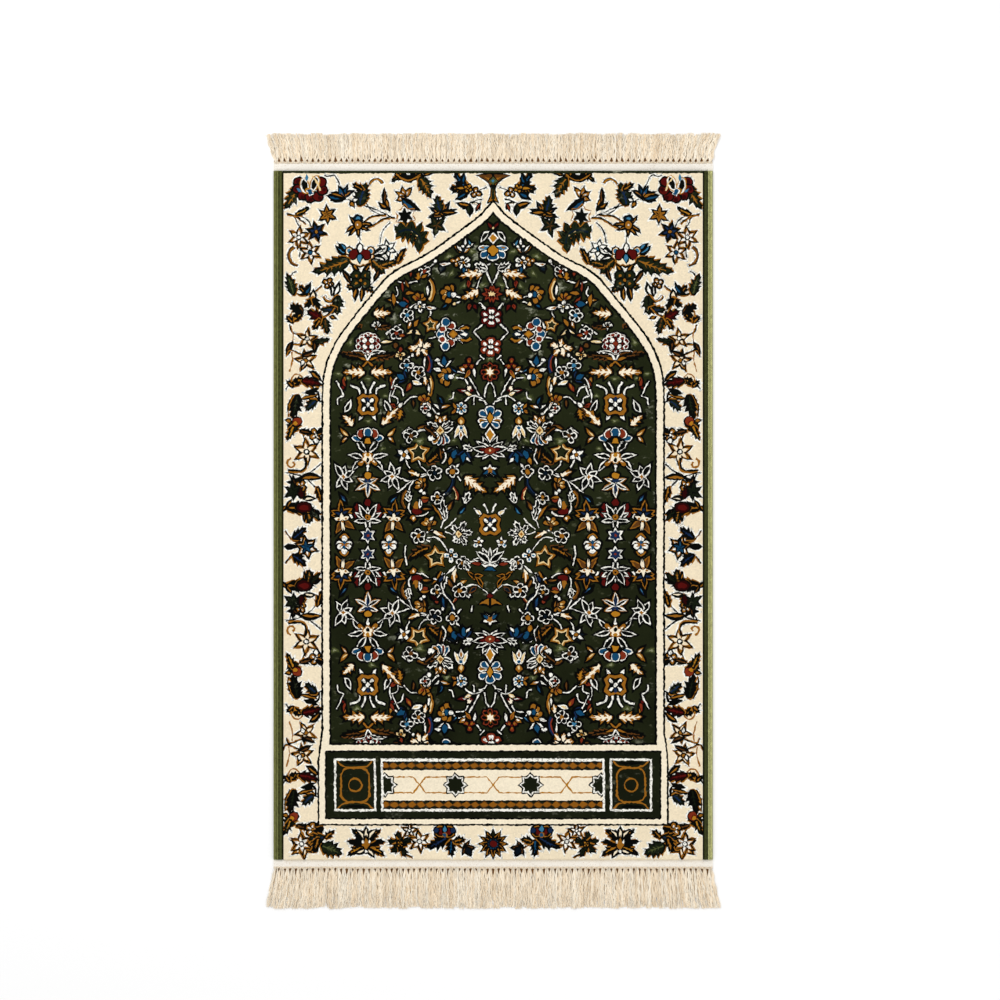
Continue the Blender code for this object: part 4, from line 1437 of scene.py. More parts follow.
def rimLines():
    wide, long, ring = rug["halfWide"], rug["halfLong"], rug["edgeRound"]
    lines = []
    for inset in (0, 0.12 * ring, 0.4 * ring, ring):
        x, y = wide - inset, long - inset
        lines.append([(0, y), (-x, y), (-x, -y), (0, -y)])
    return lines + [[(0, long), (0, -long)]]


def inLeftHalf(points):
    x, y = points.T
    return (x < 0) & (x > -rug["halfWide"]) & (np.abs(y) < rug["halfLong"])


def pileHalf(shapes, zones):
    points, edges = [], []
    for outline, _, _ in shapes:
        first = len(points)
        points.extend(map(tuple, outline))
        edges += chain(first, len(outline), True)
    for line in rimLines():
        edges += chain(len(points), len(line))
        points += line
    flat, faces = triangulated(points, edges)
    middle = flat[faces].mean(1)
    names = sorted(yarns)
    colourOf = np.array([names.index(yarn) for _, yarn, _ in shapes] + [-1])
    colours = colourOf[shapeAt(middle, shapes, zones)]
    keep = inLeftHalf(middle)
    print("first pass:", len(flat), "points,", int(keep.sum()), "triangles")
    edges = colouredEdges(faces, colours, keep)
    edges = eased(flat, edges, pileMesh["simplify"])
    flat, edges = stretched(flat, edges, pileMesh["stretch"])
    used = sorted({v for edge in edges for v in edge})
    number = {v: k for k, v in enumerate(used)}
    flat = flat[used]
    edges = [(number[a], number[b]) for a, b in edges]
    for line in rimLines()[1:-1]:
        edges += chain(len(flat), len(line))
        flat = np.concatenate([flat, line])
    plain, faces = triangulated(flat, edges)
    middle = plain[faces].mean(1)
    colours = colourOf[shapeAt(middle, shapes, zones)]
    keep = inLeftHalf(middle)
    print("second pass:", len(plain), "points,", int(keep.sum()), "triangles")
    return plain, faces[keep], colours[keep]


def wavered(points):
    # small unevenness of the knots, which leaves the straight outer edge and the middle line alone
    moved = points.copy()
    wide, long = rug["halfWide"] - rug["edgeRound"] - 0.05, rug["halfLong"] - rug["edgeRound"] - 0.05
    for k, (x, y) in enumerate(points):
        if abs(x) < wide and abs(y) < long:
            slow = noise.noise_vector((x * 0.021, y * 0.021, 3.0))
            quick = noise.noise_vector((x * 0.53, y * 0.53, 9.0))
            free = min(1, abs(x) / 6)
            moved[k, 0] += (slow[0] * pileMesh["warp"] + quick[0] * pileMesh["wobble"] * 2) * free
            moved[k, 1] += slow[1] * pileMesh["warp"] + quick[1] * pileMesh["wobble"] * 2
    return moved


def rimHeight(x, y):
    inset = np.minimum(rug["halfWide"] - np.abs(x), rug["halfLong"] - np.abs(y))
    r = rug["edgeRound"]
    short = np.clip(r - inset, 0, r)
    return rug["thick"] - r + np.sqrt(np.maximum(r * r - short * short, 0))


def pileParts(shapes, zones):
    half, faces, colours = pileHalf(shapes, zones)
    used = np.unique(faces)
    number = np.full(len(half), -1)
    number[used] = np.arange(len(used))
    half, faces = half[used], number[faces]
    onAxis = np.abs(half[:, 0]) < 1e-3
    half[onAxis, 0] = 0
    twin = np.where(onAxis, np.arange(len(half)), len(half) + np.cumsum(~onAxis) - 1)
    other = half[~onAxis] * (-1, 1)
    flat = drift(np.concatenate([wavered(half), wavered(other)]))
    return flat, np.concatenate([faces, twin[faces][:, ::-1]]), np.concatenate([colours, colours])


def openEdges(faces):
    sides = np.concatenate([faces[:, [0, 1]], faces[:, [1, 2]], faces[:, [2, 0]]])
    have = {(int(a), int(b)) for a, b in sides}
    return [(a, b) for a, b in have if (b, a) not in have]


def makePile(material):
    shapes, zones = wholeDesign()
    print("pattern:", len(shapes), "shapes")
    flat, faces, colours = pileParts(shapes, zones)
    top = len(flat)
    height = rimHeight(flat[:, 0], flat[:, 1])
    heave = np.array([noise.noise((x * 0.013, y * 0.013, 1.0)) for x, y in flat])
    height = height + np.where(height > rug["thick"] - 0.01, (heave - 0.5) * rug["heave"], 0)
    border = openEdges(faces)
    rim = sorted({v for edge in border for v in edge})
    below = {v: top + k for k, v in enumerate(rim)}
    underside, underFaces, underYarn = undersideParts(flat[rim], zones)
    walls = [f for a, b in border for f in ((b, a, below[a]), (b, below[a], below[b]))]
    extra = underside[len(rim):]
    points = np.concatenate([np.column_stack([flat, height]),
        np.column_stack([flat[rim], np.zeros(len(rim))]), np.column_stack([extra, np.zeros(len(extra))])])
    points[:, 1] += rug["centreY"]
    allFaces = np.concatenate([faces, np.array(walls), underFaces + top])
    names = sorted(yarns)
    palette = np.array([shown(yarns[name]) for name in names])
    edgeColour = dict(zip((tuple(sorted((int(f[k]), int(f[k - 1])))) for f in faces for k in range(3)),
        np.repeat(colours, 3)))
    wallYarn = [edgeColour[tuple(sorted((a, b)))] for a, b in border for _ in (0, 1)]
    yarn = np.concatenate([colours, wallYarn, [names.index(name) for name in underYarn]])
    mesh = bpy.data.meshes.new("pile")
    mesh.from_pydata((points * mm).tolist(), [], allFaces.tolist())
    dyed = mesh.color_attributes.new("yarn", "FLOAT_COLOR", "CORNER")
    dyed.data.foreach_set("color", np.repeat(palette[yarn], 3, 0).ravel())
    layBakeMap(mesh, len(faces), len(walls))
    mesh.materials.append(material)
    mesh.validate()
    return addMesh("pile", mesh)


def undersideParts(rim, zones):
    # the back shows only the ground colours, on the rim's own corners
    field = zones["field"]
    order = np.argsort(np.arctan2(rim[:, 1] / rug["halfLong"], rim[:, 0] / rug["halfWide"]))
    loop = [(int(order[k]), int(order[(k + 1) % len(order)])) for k in range(len(order))]
    grounds = [(np.array(box(-335, -549, 335, 549), float), ivory), (np.asarray(archLine(0)), cream),
               (np.asarray(field), moss), (np.array(box(-265, -481, 265, -377), float), bottle)]
    points, edges = [tuple(p) for p in rim], loop
    for outline, _ in grounds[1:]:
        first = len(points)
        points.extend(map(tuple, outline[::2] if len(outline) > 8 else outline))
        edges = edges + chain(first, len(points) - first, True)
    flat, faces = triangulated(points, edges)
    middle = flat[faces].mean(1)
    found = shapeAt(middle, [(outline, yarn, None) for outline, yarn in grounds], {})
    return flat, faces[:, ::-1], [grounds[max(k, 0)][1] for k in found]


def layBakeMap(mesh, topFaces, wallFaces):
    # the face fills most of the map, the back and the four edges their own strips
    uv = mesh.uv_layers.new(name="OFBake")
    corners = np.array([mesh.vertices[loop.vertex_index].co for loop in mesh.loops]) / mm
    x = corners[:, 0] / (2 * rug["halfWide"]) + 0.5
    y = (corners[:, 1] - rug["centreY"]) / (2 * rug["halfLong"]) + 0.5
    z = corners[:, 2] / rug["thick"]
    made = np.stack([0.002 + 0.858 * x, 0.002 + 0.95 * y], 1)
    first, last = 3 * topFaces, 3 * (topFaces + wallFaces)
    made[last:] = np.stack([0.87 + 0.128 * x[last:], 0.002 + 0.95 * y[last:]], 1)
    for face in range(first, last, 3):
        rows = slice(face, face + 3)
        alongX = np.ptp(x[rows]) > 1e-5
        strip = (0 if y[face] < 0.5 else 1) if alongX else (2 if x[face] < 0.5 else 3)
        made[rows] = np.stack([0.002 + 0.996 * (x if alongX else y)[rows],
            0.958 + 0.0105 * strip + 0.008 * z[rows]], 1)
    uv.data.foreach_set("uv", np.clip(made, 0, 1).ravel())


def addMesh(name, mesh):
    piece = bpy.data.objects.new(name, mesh)
    bpy.context.scene.collection.objects.link(piece)
    return piece


binding = {"outer": 350.0, "inner": 335.2, "base": 2.8, "crests": ((0.30, 6.2), (0.33, 7.4), (0.37, 8.0)),
    "valley": 1.8, "wrapPitch": 2.9, "thread": 1.5, "coreInset": 0.45}
tape = {"halfWide": 350.0, "thick": 2.6, "head": (548.8, 562.0), "foot": (-548.8, -561.6), "across": 9,
    "along": 281}
fringe = {"tassels": 78, "pitch": 8.97, "strands": 30, "plies": 4, "steps": 10, "thread": 1.15, "wave": 2.3,
    "splay": 13.0, "head": (561.0, 47.5), "foot": (-560.8, 65.5), "knotLong": 3.6, "knotWide": 5.0,
    "knotTall": 3.7}


def grownTree(name, sizes):
    # a Geometry Nodes tree with named number inputs; returns it with a graph and its input wires
    tree = bpy.data.node_groups.new(name, "GeometryNodeTree")
    tree.interface.new_socket("Geometry", in_out="INPUT", socket_type="NodeSocketGeometry")
    for title, value in sizes.items():
        kind = "NodeSocketInt" if isinstance(value, int) else "NodeSocketFloat"
        tree.interface.new_socket(title, in_out="INPUT", socket_type=kind).default_value = value
    tree.interface.new_socket("Geometry", in_out="OUTPUT", socket_type="NodeSocketGeometry")
    graph = Graph(tree)
    entry = graph.node("NodeGroupInput")
    return tree, graph, {socket.name: Wire(graph, socket) for socket in entry.outputs if socket.name}


def finishTree(graph, geometry, material):
    real = graph.make("GeometryNodeRealizeInstances", {0: geometry})
    done = graph.make("GeometryNodeSetMaterial", {"Geometry": real, "Material": material})
    graph.node("NodeGroupOutput", {0: done})


def grow(name, mesh, tree, values):
    # runs a tree on a mesh and keeps the result as a plain mesh
    seed = addMesh(name + "Seed", mesh)
    modifier = seed.modifiers.new("grow", "NODES")
    modifier.node_group = tree
    sockets = {item.name: item.identifier for item in tree.interface.items_tree if item.in_out == "INPUT"}
    for title, identifier in sockets.items():
        if title in values:
            modifier[identifier] = values[title]
    graph = bpy.context.evaluated_depsgraph_get()
    made = bpy.data.meshes.new_from_object(seed.evaluated_get(graph), depsgraph=graph)
    bpy.data.objects.remove(seed)
    made.name = name
    return made


def chance(graph, low, high, seed, salt):
    return graph.make("FunctionNodeRandomValue", {2: low, 3: high, 8: seed + salt}, {"data_type": "FLOAT"}, 1)


def named(graph, title):
    made = graph.make("GeometryNodeInputNamedAttribute", {"Name": title}, {"data_type": "FLOAT_VECTOR"})
    return graph.parts(made)


def moved(graph, geometry, x, y, z):
    # y is counted from the middle of the rug's body
    place = graph.joined(x, y + rug["centreY"] * mm, z)
    return graph.make("GeometryNodeSetPosition", {"Geometry": geometry, "Position": place})


def smoothed(graph, geometry):
    return graph.make("GeometryNodeSetShadeSmooth", {"Geometry": geometry})


def kept(graph, geometry, title, value, kind="FLOAT"):
    return graph.make("GeometryNodeStoreNamedAttribute",
        {"Geometry": geometry, "Name": title, "Value": value}, {"data_type": kind, "domain": "POINT"})


def strandTree(material):
    tree, graph, value = grownTree("fringeStrands", {
        "Tassels": 78, "Strands": 30, "Plies": 4, "Pitch": 0.009, "Start": 0.56, "Side": 1.0,
        "Length": 0.05, "Thread": 0.001, "Wave": 0.002, "Splay": 0.011, "Seed": 7})
    seed, side, each, pitch = value["Seed"], value["Side"], value["Strands"], value["Pitch"]
    points = graph.make("GeometryNodePoints", {"Count": value["Tassels"] * each})
    index = graph.make("GeometryNodeInputIndex")
    tassel = graph.maths("FLOOR", index / each)
    seatX = (tassel - (value["Tassels"] - 1) / 2) * pitch
    ply = graph.maths("FLOOR", (index - tassel * each) * value["Plies"] / each)
    lay = graph.white("3D", graph.joined(tassel, ply, side))
    middle = (ply + 0.5) / value["Plies"] - 0.5
    spread = (middle * 1.06 + 0.16 * (lay - 0.5) + chance(graph, -0.15, 0.15, seed, 1)) * pitch
    # each tassel has its own length, and each strand a little more or less
    own = graph.white("1D", tassel * 0.37 + side)
    long = value["Length"] * (0.965 + 0.05 * own - chance(graph, 0.0, 1.0, seed, 2) ** 5 * 0.16)
    phase = lay * 6.283 + chance(graph, -0.5, 0.5, seed, 3)
    toss = graph.joined(phase, chance(graph, 0.45, 1.0, seed, 4), chance(graph, 0.0, 1.0, seed, 5))
    points = kept(graph, points, "seat", graph.joined(seatX, spread, long), "FLOAT_VECTOR")
    points = kept(graph, points, "toss", toss, "FLOAT_VECTOR")
    tint = graph.white("3D", graph.joined(ply, tassel, 3.0))
    points = kept(graph, points, "shade", 0.55 * tint + chance(graph, 0.0, 0.45, seed, 6))
    line = graph.make("GeometryNodeCurvePrimitiveLine", {"Start": (0, 0, 0), "End": (0, 1, 0)},
        {"mode": "POINTS"})
    line = graph.make("GeometryNodeResampleCurve", {"Curve": line, "Count": fringe["steps"] + 1})
    strands = graph.make("GeometryNodeInstanceOnPoints", {"Points": points, "Instance": line})
    strands = graph.make("GeometryNodeRealizeInstances", {0: strands})
    t = graph.make("GeometryNodeSplineParameter")
    strands = kept(graph, strands, "along", t)
    seatX, spread, long = named(graph, "seat")
    phase, size, lift = named(graph, "toss")
    # a strand leaves its knot narrow, opens within a centimetre, then waves and drifts
    opening = graph.ramp(t * long, 0.0010, 0.0108)
    swing = graph.maths("SINE", phase + t * (15.0 + 5.0 * lift)) * size * value["Wave"] * 0.55 * opening
    slow = graph.cloud(graph.joined(seatX, t * 0.02, side), 55.0, 1.0) - 0.5
    curl = graph.cloud(graph.joined(seatX + spread * 2.0, t * 0.05, phase), 90.0, 2.0) - 0.5
    share = seatX / (tape["halfWide"] * mm)
    corner = graph.maths("SIGN", share) * graph.maths("ABSOLUTE", share) ** 5.0 * value["Splay"]
    x = (seatX + spread * (0.24 + 0.74 * opening) + swing + slow * t * 0.011 + curl * t * 0.010
         + corner * t * (0.4 + 0.6 * t))
    y = (value["Start"] + long * t) * side + curl * t * 0.004
    ripple = graph.maths("SINE", phase * 2.0 + t * 9.0)
    strands = moved(graph, strands, x, y, 0.0011 + 0.0026 * lift * (1.0 - 0.45 * t) + 0.0006 * ripple)
    thick = value["Thread"] * 0.5 * (1.0 - 0.35 * t * t) * (0.8 + 0.4 * lift)
    strands = graph.make("GeometryNodeSetCurveRadius", {"Curve": strands, "Radius": thick})
    ring = graph.make("GeometryNodeCurvePrimitiveCircle", {"Resolution": 4, "Radius": 1.0})
    tubes = graph.node("GeometryNodeCurveToMesh", {"Curve": strands, "Profile Curve": ring,
        "Fill Caps": True})
    if "Scale" in tubes.inputs:
        graph.tree.links.new(graph.make("GeometryNodeInputRadius").socket, tubes.inputs["Scale"])
    finishTree(graph, smoothed(graph, Wire(graph, tubes.outputs[0])), material)
    return tree


def knotTree(material):
    tree, graph, value = grownTree("fringeKnots", {
        "Tassels": 78, "Pitch": 0.009, "Start": 0.56, "Side": 1.0, "Long": 0.008, "Wide": 0.007,
        "Tall": 0.004, "Seed": 11})
    seed = value["Seed"]
    points = graph.make("GeometryNodePoints", {"Count": value["Tassels"] * 2})
    index = graph.make("GeometryNodeInputIndex")
    tassel = graph.maths("FLOOR", index / 2)
    front = index - tassel * 2
    seat = (tassel - (value["Tassels"] - 1) / 2 + 0.5 * front - 0.25) * value["Pitch"]
    x = seat + chance(graph, -0.0004, 0.0004, seed, 1)
    y = (value["Start"] + value["Long"] * chance(graph, 0.20, 0.42, seed, 2)) * value["Side"]
    points = moved(graph, points, x, y, value["Tall"] * 0.52)
    ball = graph.make("GeometryNodeMeshUVSphere", {"Segments": 14, "Rings": 9, "Radius": 0.5})
    size = graph.joined(value["Wide"], value["Long"] * chance(graph, 0.85, 1.1, seed, 4),
        value["Tall"] * 0.98)
    turn = graph.joined(0.0, 0.0, chance(graph, -0.2, 0.2, seed, 3))
    knots = graph.make("GeometryNodeInstanceOnPoints", {
        "Points": points, "Instance": ball, "Scale": size, "Rotation": turn})
    finishTree(graph, smoothed(graph, knots), material)
    return tree


def fringeParts(end, knotted, strands, knots):
    start, length = fringe[end]
    side = 1.0 if end == "head" else -1.0
    lengths = {title: fringe[name] * mm for title, name in (
        ("Pitch", "pitch"), ("Thread", "thread"), ("Wave", "wave"), ("Splay", "splay"),
        ("Long", "knotLong"), ("Wide", "knotWide"), ("Tall", "knotTall"))}
    values = {**lengths, "Tassels": fringe["tassels"], "Start": abs(start) * mm, "Side": side}
    threads = grow("fringe_" + end, bpy.data.meshes.new("none"), strands, {
        **values, "Strands": fringe["strands"], "Plies": fringe["plies"], "Length": length * mm,
        "Seed": 7 if end == "head" else 8})
    lumps = grow("knots_" + end, bpy.data.meshes.new("none"), knots, values)
    # a thin sheet under the knots and strands, a painted shadow that shows between them
    foot = bpy.data.meshes.new("foot")
    near, far = sorted(((abs(start) + 1.0) * side, (abs(start) + length * 0.74) * side))
    corners = [(x, y + rug["centreY"]) for x, y in ((-349, near), (349, near), (349, far), (-349, far))]
    foot.from_pydata([(x * mm, y * mm, z * mm) for z in (0.1, 0.6) for x, y in corners], [],
                     [(3, 2, 1, 0), (4, 5, 6, 7), (0, 1, 5, 4), (1, 2, 6, 5), (2, 3, 7, 6), (3, 0, 4, 7)])
    lumps = joinMeshes("fringe_" + end + "_knots", [lumps, foot], knotted)
    return addMesh("fringe_" + end + "_strands", threads), lumps


def bindingLine():
    # the section from its outer foot over three cords to its inner foot, in millimetres from the outer edge
    wide = binding["outer"] - binding["inner"]
    line, x, crests = [(0.0, 0.0), (0.0, binding["base"])], 0.0, binding["crests"]
    left = binding["base"]
    for k, (share, crest) in enumerate(crests):
        right = binding["base"] if k == len(crests) - 1 else min(crest, crests[k + 1][1]) - binding["valley"]
        for step in range(1, 6):
            turn = math.pi * step / 5
            foot = left + (right - left) * step / 5
            line.append((x + share * wide * (1 - math.cos(turn)) / 2,
                foot + (crest - max(left, right)) * math.sin(turn)))
        x, left = x + share * wide, right
    return line + [(wide, 0.0)]


def wrapTree(material):
    tree, graph, value = grownTree("overcastEdge", {"Wraps": 370, "Pitch": 0.003, "Thread": 0.0015})
    points = graph.make("GeometryNodePoints", {"Count": value["Wraps"]})
    index = graph.make("GeometryNodeInputIndex")
    points = moved(graph, points, 0.0, (index - (value["Wraps"] - 1) / 2) * value["Pitch"], 0.0)
    loop = graph.make("GeometryNodeMeshToCurve", {0: Wire(graph, graph.tree.nodes["Group Input"].outputs[0])})
    ring = graph.make("GeometryNodeCurvePrimitiveCircle", {"Resolution": 4, "Radius": value["Thread"] * 0.5})
    wrap = graph.make("GeometryNodeCurveToMesh", {"Curve": loop, "Profile Curve": ring})
    wraps = graph.make("GeometryNodeInstanceOnPoints", {"Points": points, "Instance": wrap})
    finishTree(graph, smoothed(graph, wraps), material)
    return tree


def makeBinding(name, side, material, tree):
    line = bindingLine()
    thread, wide, count = binding["thread"] / 2, binding["outer"] - binding["inner"], len(line)
    inset = [(min(max(x, thread), wide - thread), max(z - thread, thread)) for x, z in line]
    loop = bpy.data.meshes.new("loop")
    loop.from_pydata([(side * (binding["outer"] - x) * mm, 0, z * mm) for x, z in inset],
        chain(0, count, True), [])
    wraps = grow(name + "Wraps", loop, tree, {
        "Wraps": int(2 * (rug["halfLong"] - 1) / binding["wrapPitch"]),
        "Pitch": binding["wrapPitch"] * mm, "Thread": binding["thread"] * mm})
    core = bpy.data.meshes.new("core")
    ends = [(rug["centreY"] + s * rug["halfLong"]) * mm for s in (-1, 1)]
    points = [(side * (binding["outer"] - x) * mm, y,
        max(z - binding["coreInset"], 0) * mm) for y in ends for x, z in line]
    faces = [(k, (k + 1) % count, count + (k + 1) % count, count + k) for k in range(count)]
    faces += [tuple(range(count))[::-1], tuple(range(count, 2 * count))]
    core.from_pydata(points, [], faces if side > 0 else [f[::-1] for f in faces])
    return joinMeshes(name, [core, wraps], material)


def joinMeshes(name, meshes, material):
    made = bmesh.new()
    for mesh in meshes:
        made.from_mesh(mesh)
    whole = bpy.data.meshes.new(name)
    made.to_mesh(whole)
    made.free()
    whole.materials.clear()
    whole.materials.append(material)
    return addMesh(name, whole)


def makeTape(end, material):
    # a flat woven band, thicker along the middle, whose long edges waver a little
    inner, outer = tape[end]
    across, along = tape["across"], tape["along"]
    side = 1 if end == "head" else -1
    low, high = [], []
    for i in range(along):
        x = tape["halfWide"] * (2 * i / (along - 1) - 1)
        slow, quick = noise.noise((x * 0.06, outer * 0.1, 2.0)), noise.noise((x * 0.4, outer * 0.1, 5.0))
        for j in range(across):
            share = j / (across - 1)
            y = inner + (outer - inner) * share + (0.5 * slow + 0.25 * quick) * share * side
            belly = math.sin(math.pi * min(1, max(0, share * 0.94 + 0.03))) ** 0.35
            lump = 0.12 * noise.noise((x * 0.25, y * 0.5, 4.0))
            low.append((x * mm, (y + rug["centreY"]) * mm, 0.0))
            high.append((*low[-1][:2], (tape["thick"] * (0.35 + 0.65 * belly) + lump) * mm))
    size, faces = across * along, []
    for i in range(along - 1):
        for j in range(across - 1):
            a, b = i * across + j, (i + 1) * across + j
            faces += [(a, a + 1, b + 1, b), (size + a, size + b, size + b + 1, size + a + 1)]
    grid = np.arange(size).reshape(along, across)
    rim = [*grid[0], *grid[1:, -1], *grid[-1, -2::-1], *grid[-2:0:-1, 0]]
    rim = [int(k) for k in rim]
    faces += [(a, size + a, size + b, b) for a, b in zip(rim, rim[1:] + rim[:1])]
    mesh = bpy.data.meshes.new("tape")
    mesh.from_pydata(low + high, [], faces if side > 0 else [f[::-1] for f in faces])
    mesh.materials.append(material)
    return addMesh("fringe_tape_" + end + "_weave", mesh)


exposure = 1.12  # how much brighter than its own colour a flat white thing is in this light


def shown(colour):
    # the colour a flat thing needs so as to look like this one in the light
    return linear(colour, 1 / exposure)


def newMaterial(name, roughness=0.95):
    material = bpy.data.materials.new(name)
    material.use_nodes = True
    graph = Graph(material.node_tree)
    shader = material.node_tree.nodes["Principled BSDF"]
    shader.inputs["Roughness"].default_value = roughness
    shader.inputs["Specular IOR Level"].default_value = 0.04
    return material, graph, shader


def connect(shader, graph, colour, height, bump, reach):
    made = graph.make("ShaderNodeBump", {"Height": height, "Strength": bump, "Distance": reach})
    graph.tree.links.new(colour.socket, shader.inputs["Base Color"])
    graph.tree.links.new(made.socket, shader.inputs["Normal"])


def placeOf(graph):
    return graph.make("ShaderNodeTexCoord", None, None, 3)


def pileMaterial():
    material, graph, shader = newMaterial("pileYarn")
    place = placeOf(graph)
    yarn = graph.make("ShaderNodeAttribute", None, {"attribute_name": "yarn"})
    x, y, _ = graph.parts(place)
    # one knot is about 2.2 by 2.0 mm; each has its own tone, and its rounded top is painted lighter than the
    # dips between knots, as painted shade
    column, row = x / 0.0022, y / 0.0020
    cell = graph.joined(graph.maths("FLOOR", column), graph.maths("FLOOR", row), 0.0)
    own = graph.white("2D", cell)
    dome = graph.maths("SINE", column * math.pi) * graph.maths("SINE", row * math.pi)
    dome = graph.maths("ABSOLUTE", dome) ** 0.5
    brushed = graph.cloud(graph.joined(x, y * 0.8, 0.0), 34.0, 4.0, 0.62)
    bands = graph.cloud(graph.joined(x * 0.25, y, 0.0), 22.0, 3.0)
    fine = graph.cloud(place, 900.0, 2.0, 0.6)
    shade = 0.79 + 0.12 * own + 0.14 * brushed + 0.08 * bands + 0.10 * dome + 0.10 * fine
    # the dark ground is painted lighter or darker in broad patches, as painted sheen and shade of the pile,
    # and painted darker towards the foot
    red, green, blue = graph.parts(yarn)
    dark = 1.0 - graph.ramp(graph.maths("MAXIMUM", graph.maths("MAXIMUM", red, green), blue), 0.030, 0.062)
    patch = graph.cloud(graph.joined(x, y, 0.2), 11.0, 3.0, 0.55)
    sheenAndShade = 0.10 + 0.36 * graph.ramp(y, -0.34, 0.44) + 0.95 * patch
    shade = shade * graph.maths("ADD", 1.0, dark * (sheenAndShade - 1.0))
    # white knots are not all as full, so that a thin white line looks beaded
    pale = graph.ramp(blue, 0.62, 0.74)
    shade = shade * (1.0 - 0.42 * pale * (1.0 - graph.ramp(own, 0.12, 0.46)))
    colour = graph.scaled(yarn, shade)
    # pale patches on the green ground are painted sheen, more of it towards the head
    napSheen = graph.ramp(graph.cloud(graph.joined(x * 0.7, y, 0.4), 75.0, 3.0, 0.65), 0.58, 0.82)
    mossy = dark * graph.ramp(green, 0.006, 0.013)
    paleSheen = graph.ramp(graph.cloud(graph.joined(x, y * 1.5, 0.9), 26.0, 4.0, 0.72), 0.60, 0.76)
    colour = graph.mix(paleSheen * mossy * (0.25 + 0.6 * graph.ramp(y, -0.32, 0.30)), colour,
        shown((186, 188, 164)))
    green = graph.mix(napSheen * 0.36 * mossy, colour, shown((150, 152, 116)))
    tuft = dome * 0.5 + own * 0.5 + fine * 0.7 + brushed * 1.4
    connect(shader, graph, green, tuft, 0.55, 0.0012)
    return material


def bindingMaterial():
    material, graph, shader = newMaterial("overcastWool")
    place = placeOf(graph)
    x, y, z = graph.parts(place)
    far = graph.maths("ABSOLUTE", x) / mm
    inner = graph.ramp(far + 1.2 * graph.cloud(place, 420.0, 2.0), 335.2, 335.9)
    # a dark inner cord and a light outer one, with a line of dark stitches between; the two bindings are
    # painted as differently lit copies, the right-hand light cord much brighter, as painted light
    right = graph.ramp(x, 0.0, 0.001)
    lit = graph.mix(right, shown((119, 121, 71)), shown((192, 192, 132)))
    low = graph.mix(right, shown((82, 86, 46)), shown((68, 72, 40)))
    tone = graph.mix(graph.ramp(far, 341.2, 343.4), low, lit)
    tone = graph.mix(inner, shown((20, 22, 10)), tone)
    # the outer flank of the outer cord is painted darker, as painted shade
    tone = graph.mix(0.45 * graph.ramp(far, 348.2, 349.8), tone, shown((84, 84, 48)))
    seam = graph.ramp(far, 339.4, 340.8) * (1.0 - graph.ramp(far, 341.6, 343.0))
    stitches = seam * graph.ramp(graph.cloud(graph.joined(0.0, y, 0.0), 330.0, 1.0), 0.42, 0.56)
    tone = graph.mix(0.8 * stitches, tone, shown((22, 26, 14)))
    strands = graph.ramp(graph.cloud(graph.joined(x + 0.12 * y, y * 0.22, z), 620.0, 2.0, 0.7), 0.38, 0.62)
    speck = graph.ramp(graph.cloud(graph.joined(x, y, z), 520.0, 2.0, 0.7), 0.40, 0.62)
    slant = graph.maths("SINE", (far * 1.3 + y / mm) * 2 * math.pi / 3.7)
    # the groove between the cords is painted darker, as painted shade
    grooveShade = graph.ramp(far, 343.9, 344.7) * (1.0 - graph.ramp(far, 344.9, 345.7))
    grain = (0.62 + 0.36 * strands + 0.36 * speck + 0.26 * slant) * (1.0 - 0.40 * grooveShade)
    connect(shader, graph, graph.scaled(tone, grain), graph.cloud(place, 1200.0, 2.0), 0.35, 0.0006)
    return material


def tapeMaterial():
    material, graph, shader = newMaterial("tapeCotton")
    place = placeOf(graph)
    x, y, _ = graph.parts(place)
    weave = graph.maths("SINE", x * 2 * math.pi / 0.0016) * graph.maths("SINE", y * 2 * math.pi / 0.0014)
    speck = graph.ramp(graph.cloud(place, 520.0, 3.0, 0.7), 0.54, 0.72)
    soft = graph.cloud(place, 40.0, 3.0)
    tone = graph.mix(speck * 0.9, linear((255, 249, 238)), linear((222, 202, 178)))
    connect(shader, graph, graph.scaled(tone, 0.85 + 0.14 * soft + 0.05 * weave),
        weave * 0.4 + graph.cloud(place, 700.0, 2.0), 0.5, 0.0007)
    return material


def cottonMaterial():
    material, graph, shader = newMaterial("fringeCotton")
    place = placeOf(graph)
    shade = graph.make("ShaderNodeAttribute", None, {"attribute_name": "shade"}, 2)
    along = graph.make("ShaderNodeAttribute", None, {"attribute_name": "along"}, 2)
    x, y, _ = graph.parts(place)
    clump = graph.ramp(graph.cloud(graph.joined(x, y * 0.10, 0.0), 190.0, 2.0, 0.6), 0.36, 0.62)
    tone = graph.mix(graph.ramp(shade, 0.0, 1.0), linear((244, 225, 196)), linear((254, 246, 230)))
    # strands are painted darker near their roots, as painted shade where they crowd at the knots
    root = 1.0 - 0.25 * (1.0 - graph.ramp(along, 0.0, 0.13))
    tone = graph.scaled(tone, root * (0.92 + 0.10 * clump))
    connect(shader, graph, tone, graph.cloud(place, 1500.0, 2.0), 0.3, 0.0004)
    return material


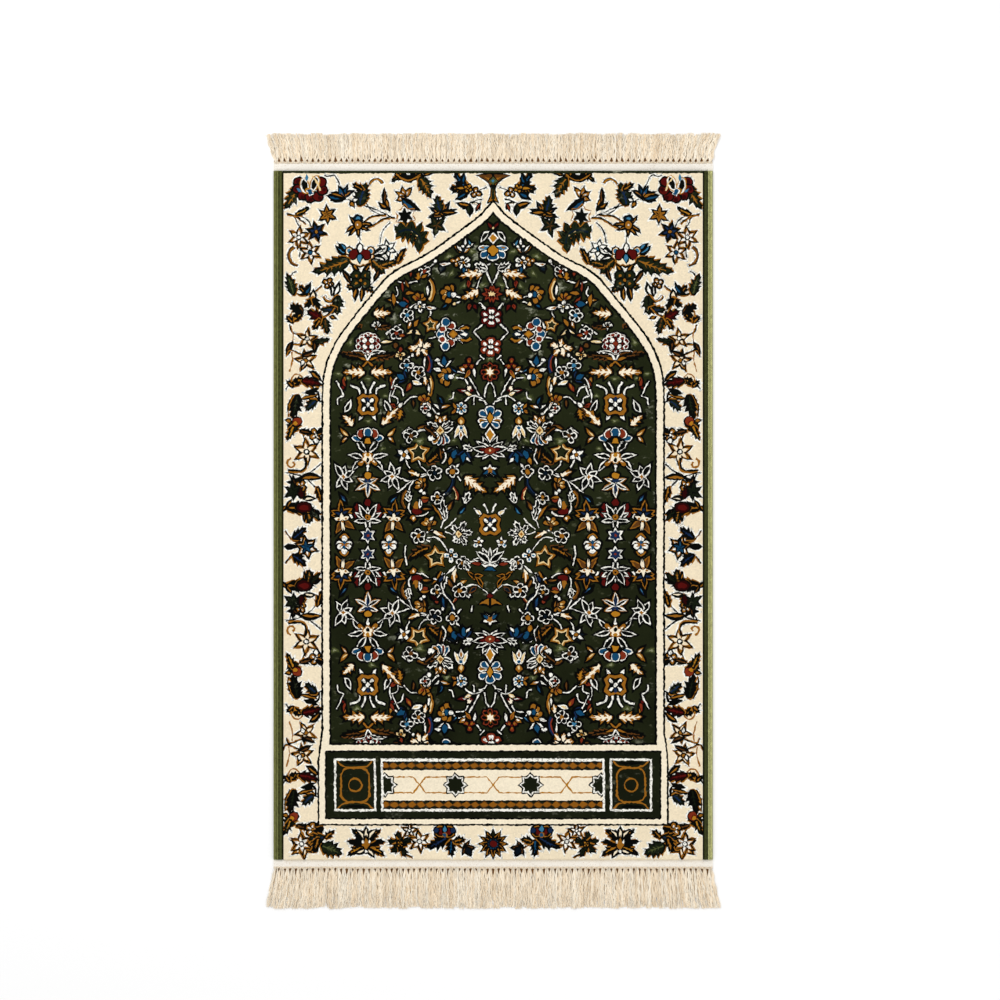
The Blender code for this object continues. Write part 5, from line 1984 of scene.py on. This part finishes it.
def knotMaterial():
    material, graph, shader = newMaterial("knotCotton")
    place = placeOf(graph)
    x, y, z = graph.parts(place)
    twist = graph.maths("SINE", (x * 1.6 + y * 1.0) * 2 * math.pi / 0.0021)
    tone = graph.mix(graph.cloud(place, 260.0, 3.0, 0.7), linear((222, 196, 160)),
        linear((250, 240, 222)))
    # the lower sides of the knots are painted darker, as painted shade
    low = graph.ramp(z, 0.0008, 0.0030)
    tone = graph.scaled(tone, 0.62 + 0.38 * low)
    # the sheet under the fringe is painted shadow, seen between the tassels: brown at the knots and fawn
    # farther out
    out = graph.maths("ABSOLUTE", y - rug["centreY"] * mm)
    foot = graph.mix(graph.ramp(out, 0.5700, 0.5750), linear((132, 94, 56)),
        linear((246, 226, 194)))
    tone = graph.mix(graph.ramp(z, 0.0008, 0.0011), foot, tone)
    connect(shader, graph, tone, twist * 0.5 + graph.cloud(place, 900.0, 2.0), 0.5, 0.0008)
    return material


def floorMaterial():
    material, _, shader = newMaterial("paleFloor", 0.9)
    shader.inputs["Base Color"].default_value = (0.97, 0.97, 0.97, 1)
    return material


def addFloor():
    mesh = bpy.data.meshes.new("floor")
    mesh.from_pydata([(-6, -6, 0), (6, -6, 0), (6, 6, 0), (-6, 6, 0)], [], [(0, 1, 2, 3)])
    mesh.materials.append(floorMaterial())
    floor = addMesh("floor", mesh)
    floor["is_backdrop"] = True
    return floor


def lightSky():
    world = bpy.data.worlds.new("studio")
    world.use_nodes = True
    world.node_tree.nodes["Background"].inputs["Color"].default_value = (1, 1, 1, 1)
    world.node_tree.nodes["Background"].inputs["Strength"].default_value = light["sky"]
    bpy.context.scene.world = world


addCamera()
lightSky()
addLight("key", light["key"], light["keySize"], (-1.3, 1.5, 2.6))
addLight("fill", light["fill"], light["keySize"], (1.8, -1.2, 2.4))
floor = addFloor()
bpy.context.scene.view_settings.view_transform = "Standard"
print("stage ready")

pile = makePile(pileMaterial())
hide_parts("woven_rug")
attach(pile, "root")
print("pile ready:", len(pile.data.polygons), "faces")

wool = bindingMaterial()
overcast = wrapTree(wool)
trims = []
for name, side in (("binding_left", -1), ("binding_right", 1)):
    piece = makeBinding(name + "_wool", side, wool, overcast)
    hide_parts(name)
    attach(piece, "root")
    trims.append(piece)
print("bindings ready")

cotton, knotted, taped = cottonMaterial(), knotMaterial(), tapeMaterial()
strands, knots = strandTree(cotton), knotTree(knotted)
for end in ("head", "foot"):
    band = makeTape(end, taped)
    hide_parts("fringe_tape_" + end)
    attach(band, "root")
    threads, lumps = fringeParts(end, knotted, strands, knots)
    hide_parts("fringe_" + end)
    for piece in (threads, lumps):
        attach(piece, "root")
    trims += [band, threads, lumps]
print("fringes ready")

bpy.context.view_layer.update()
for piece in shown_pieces():
    print(piece.name, sum(len(p.vertices) - 2 for p in piece.data.polygons), "triangles")
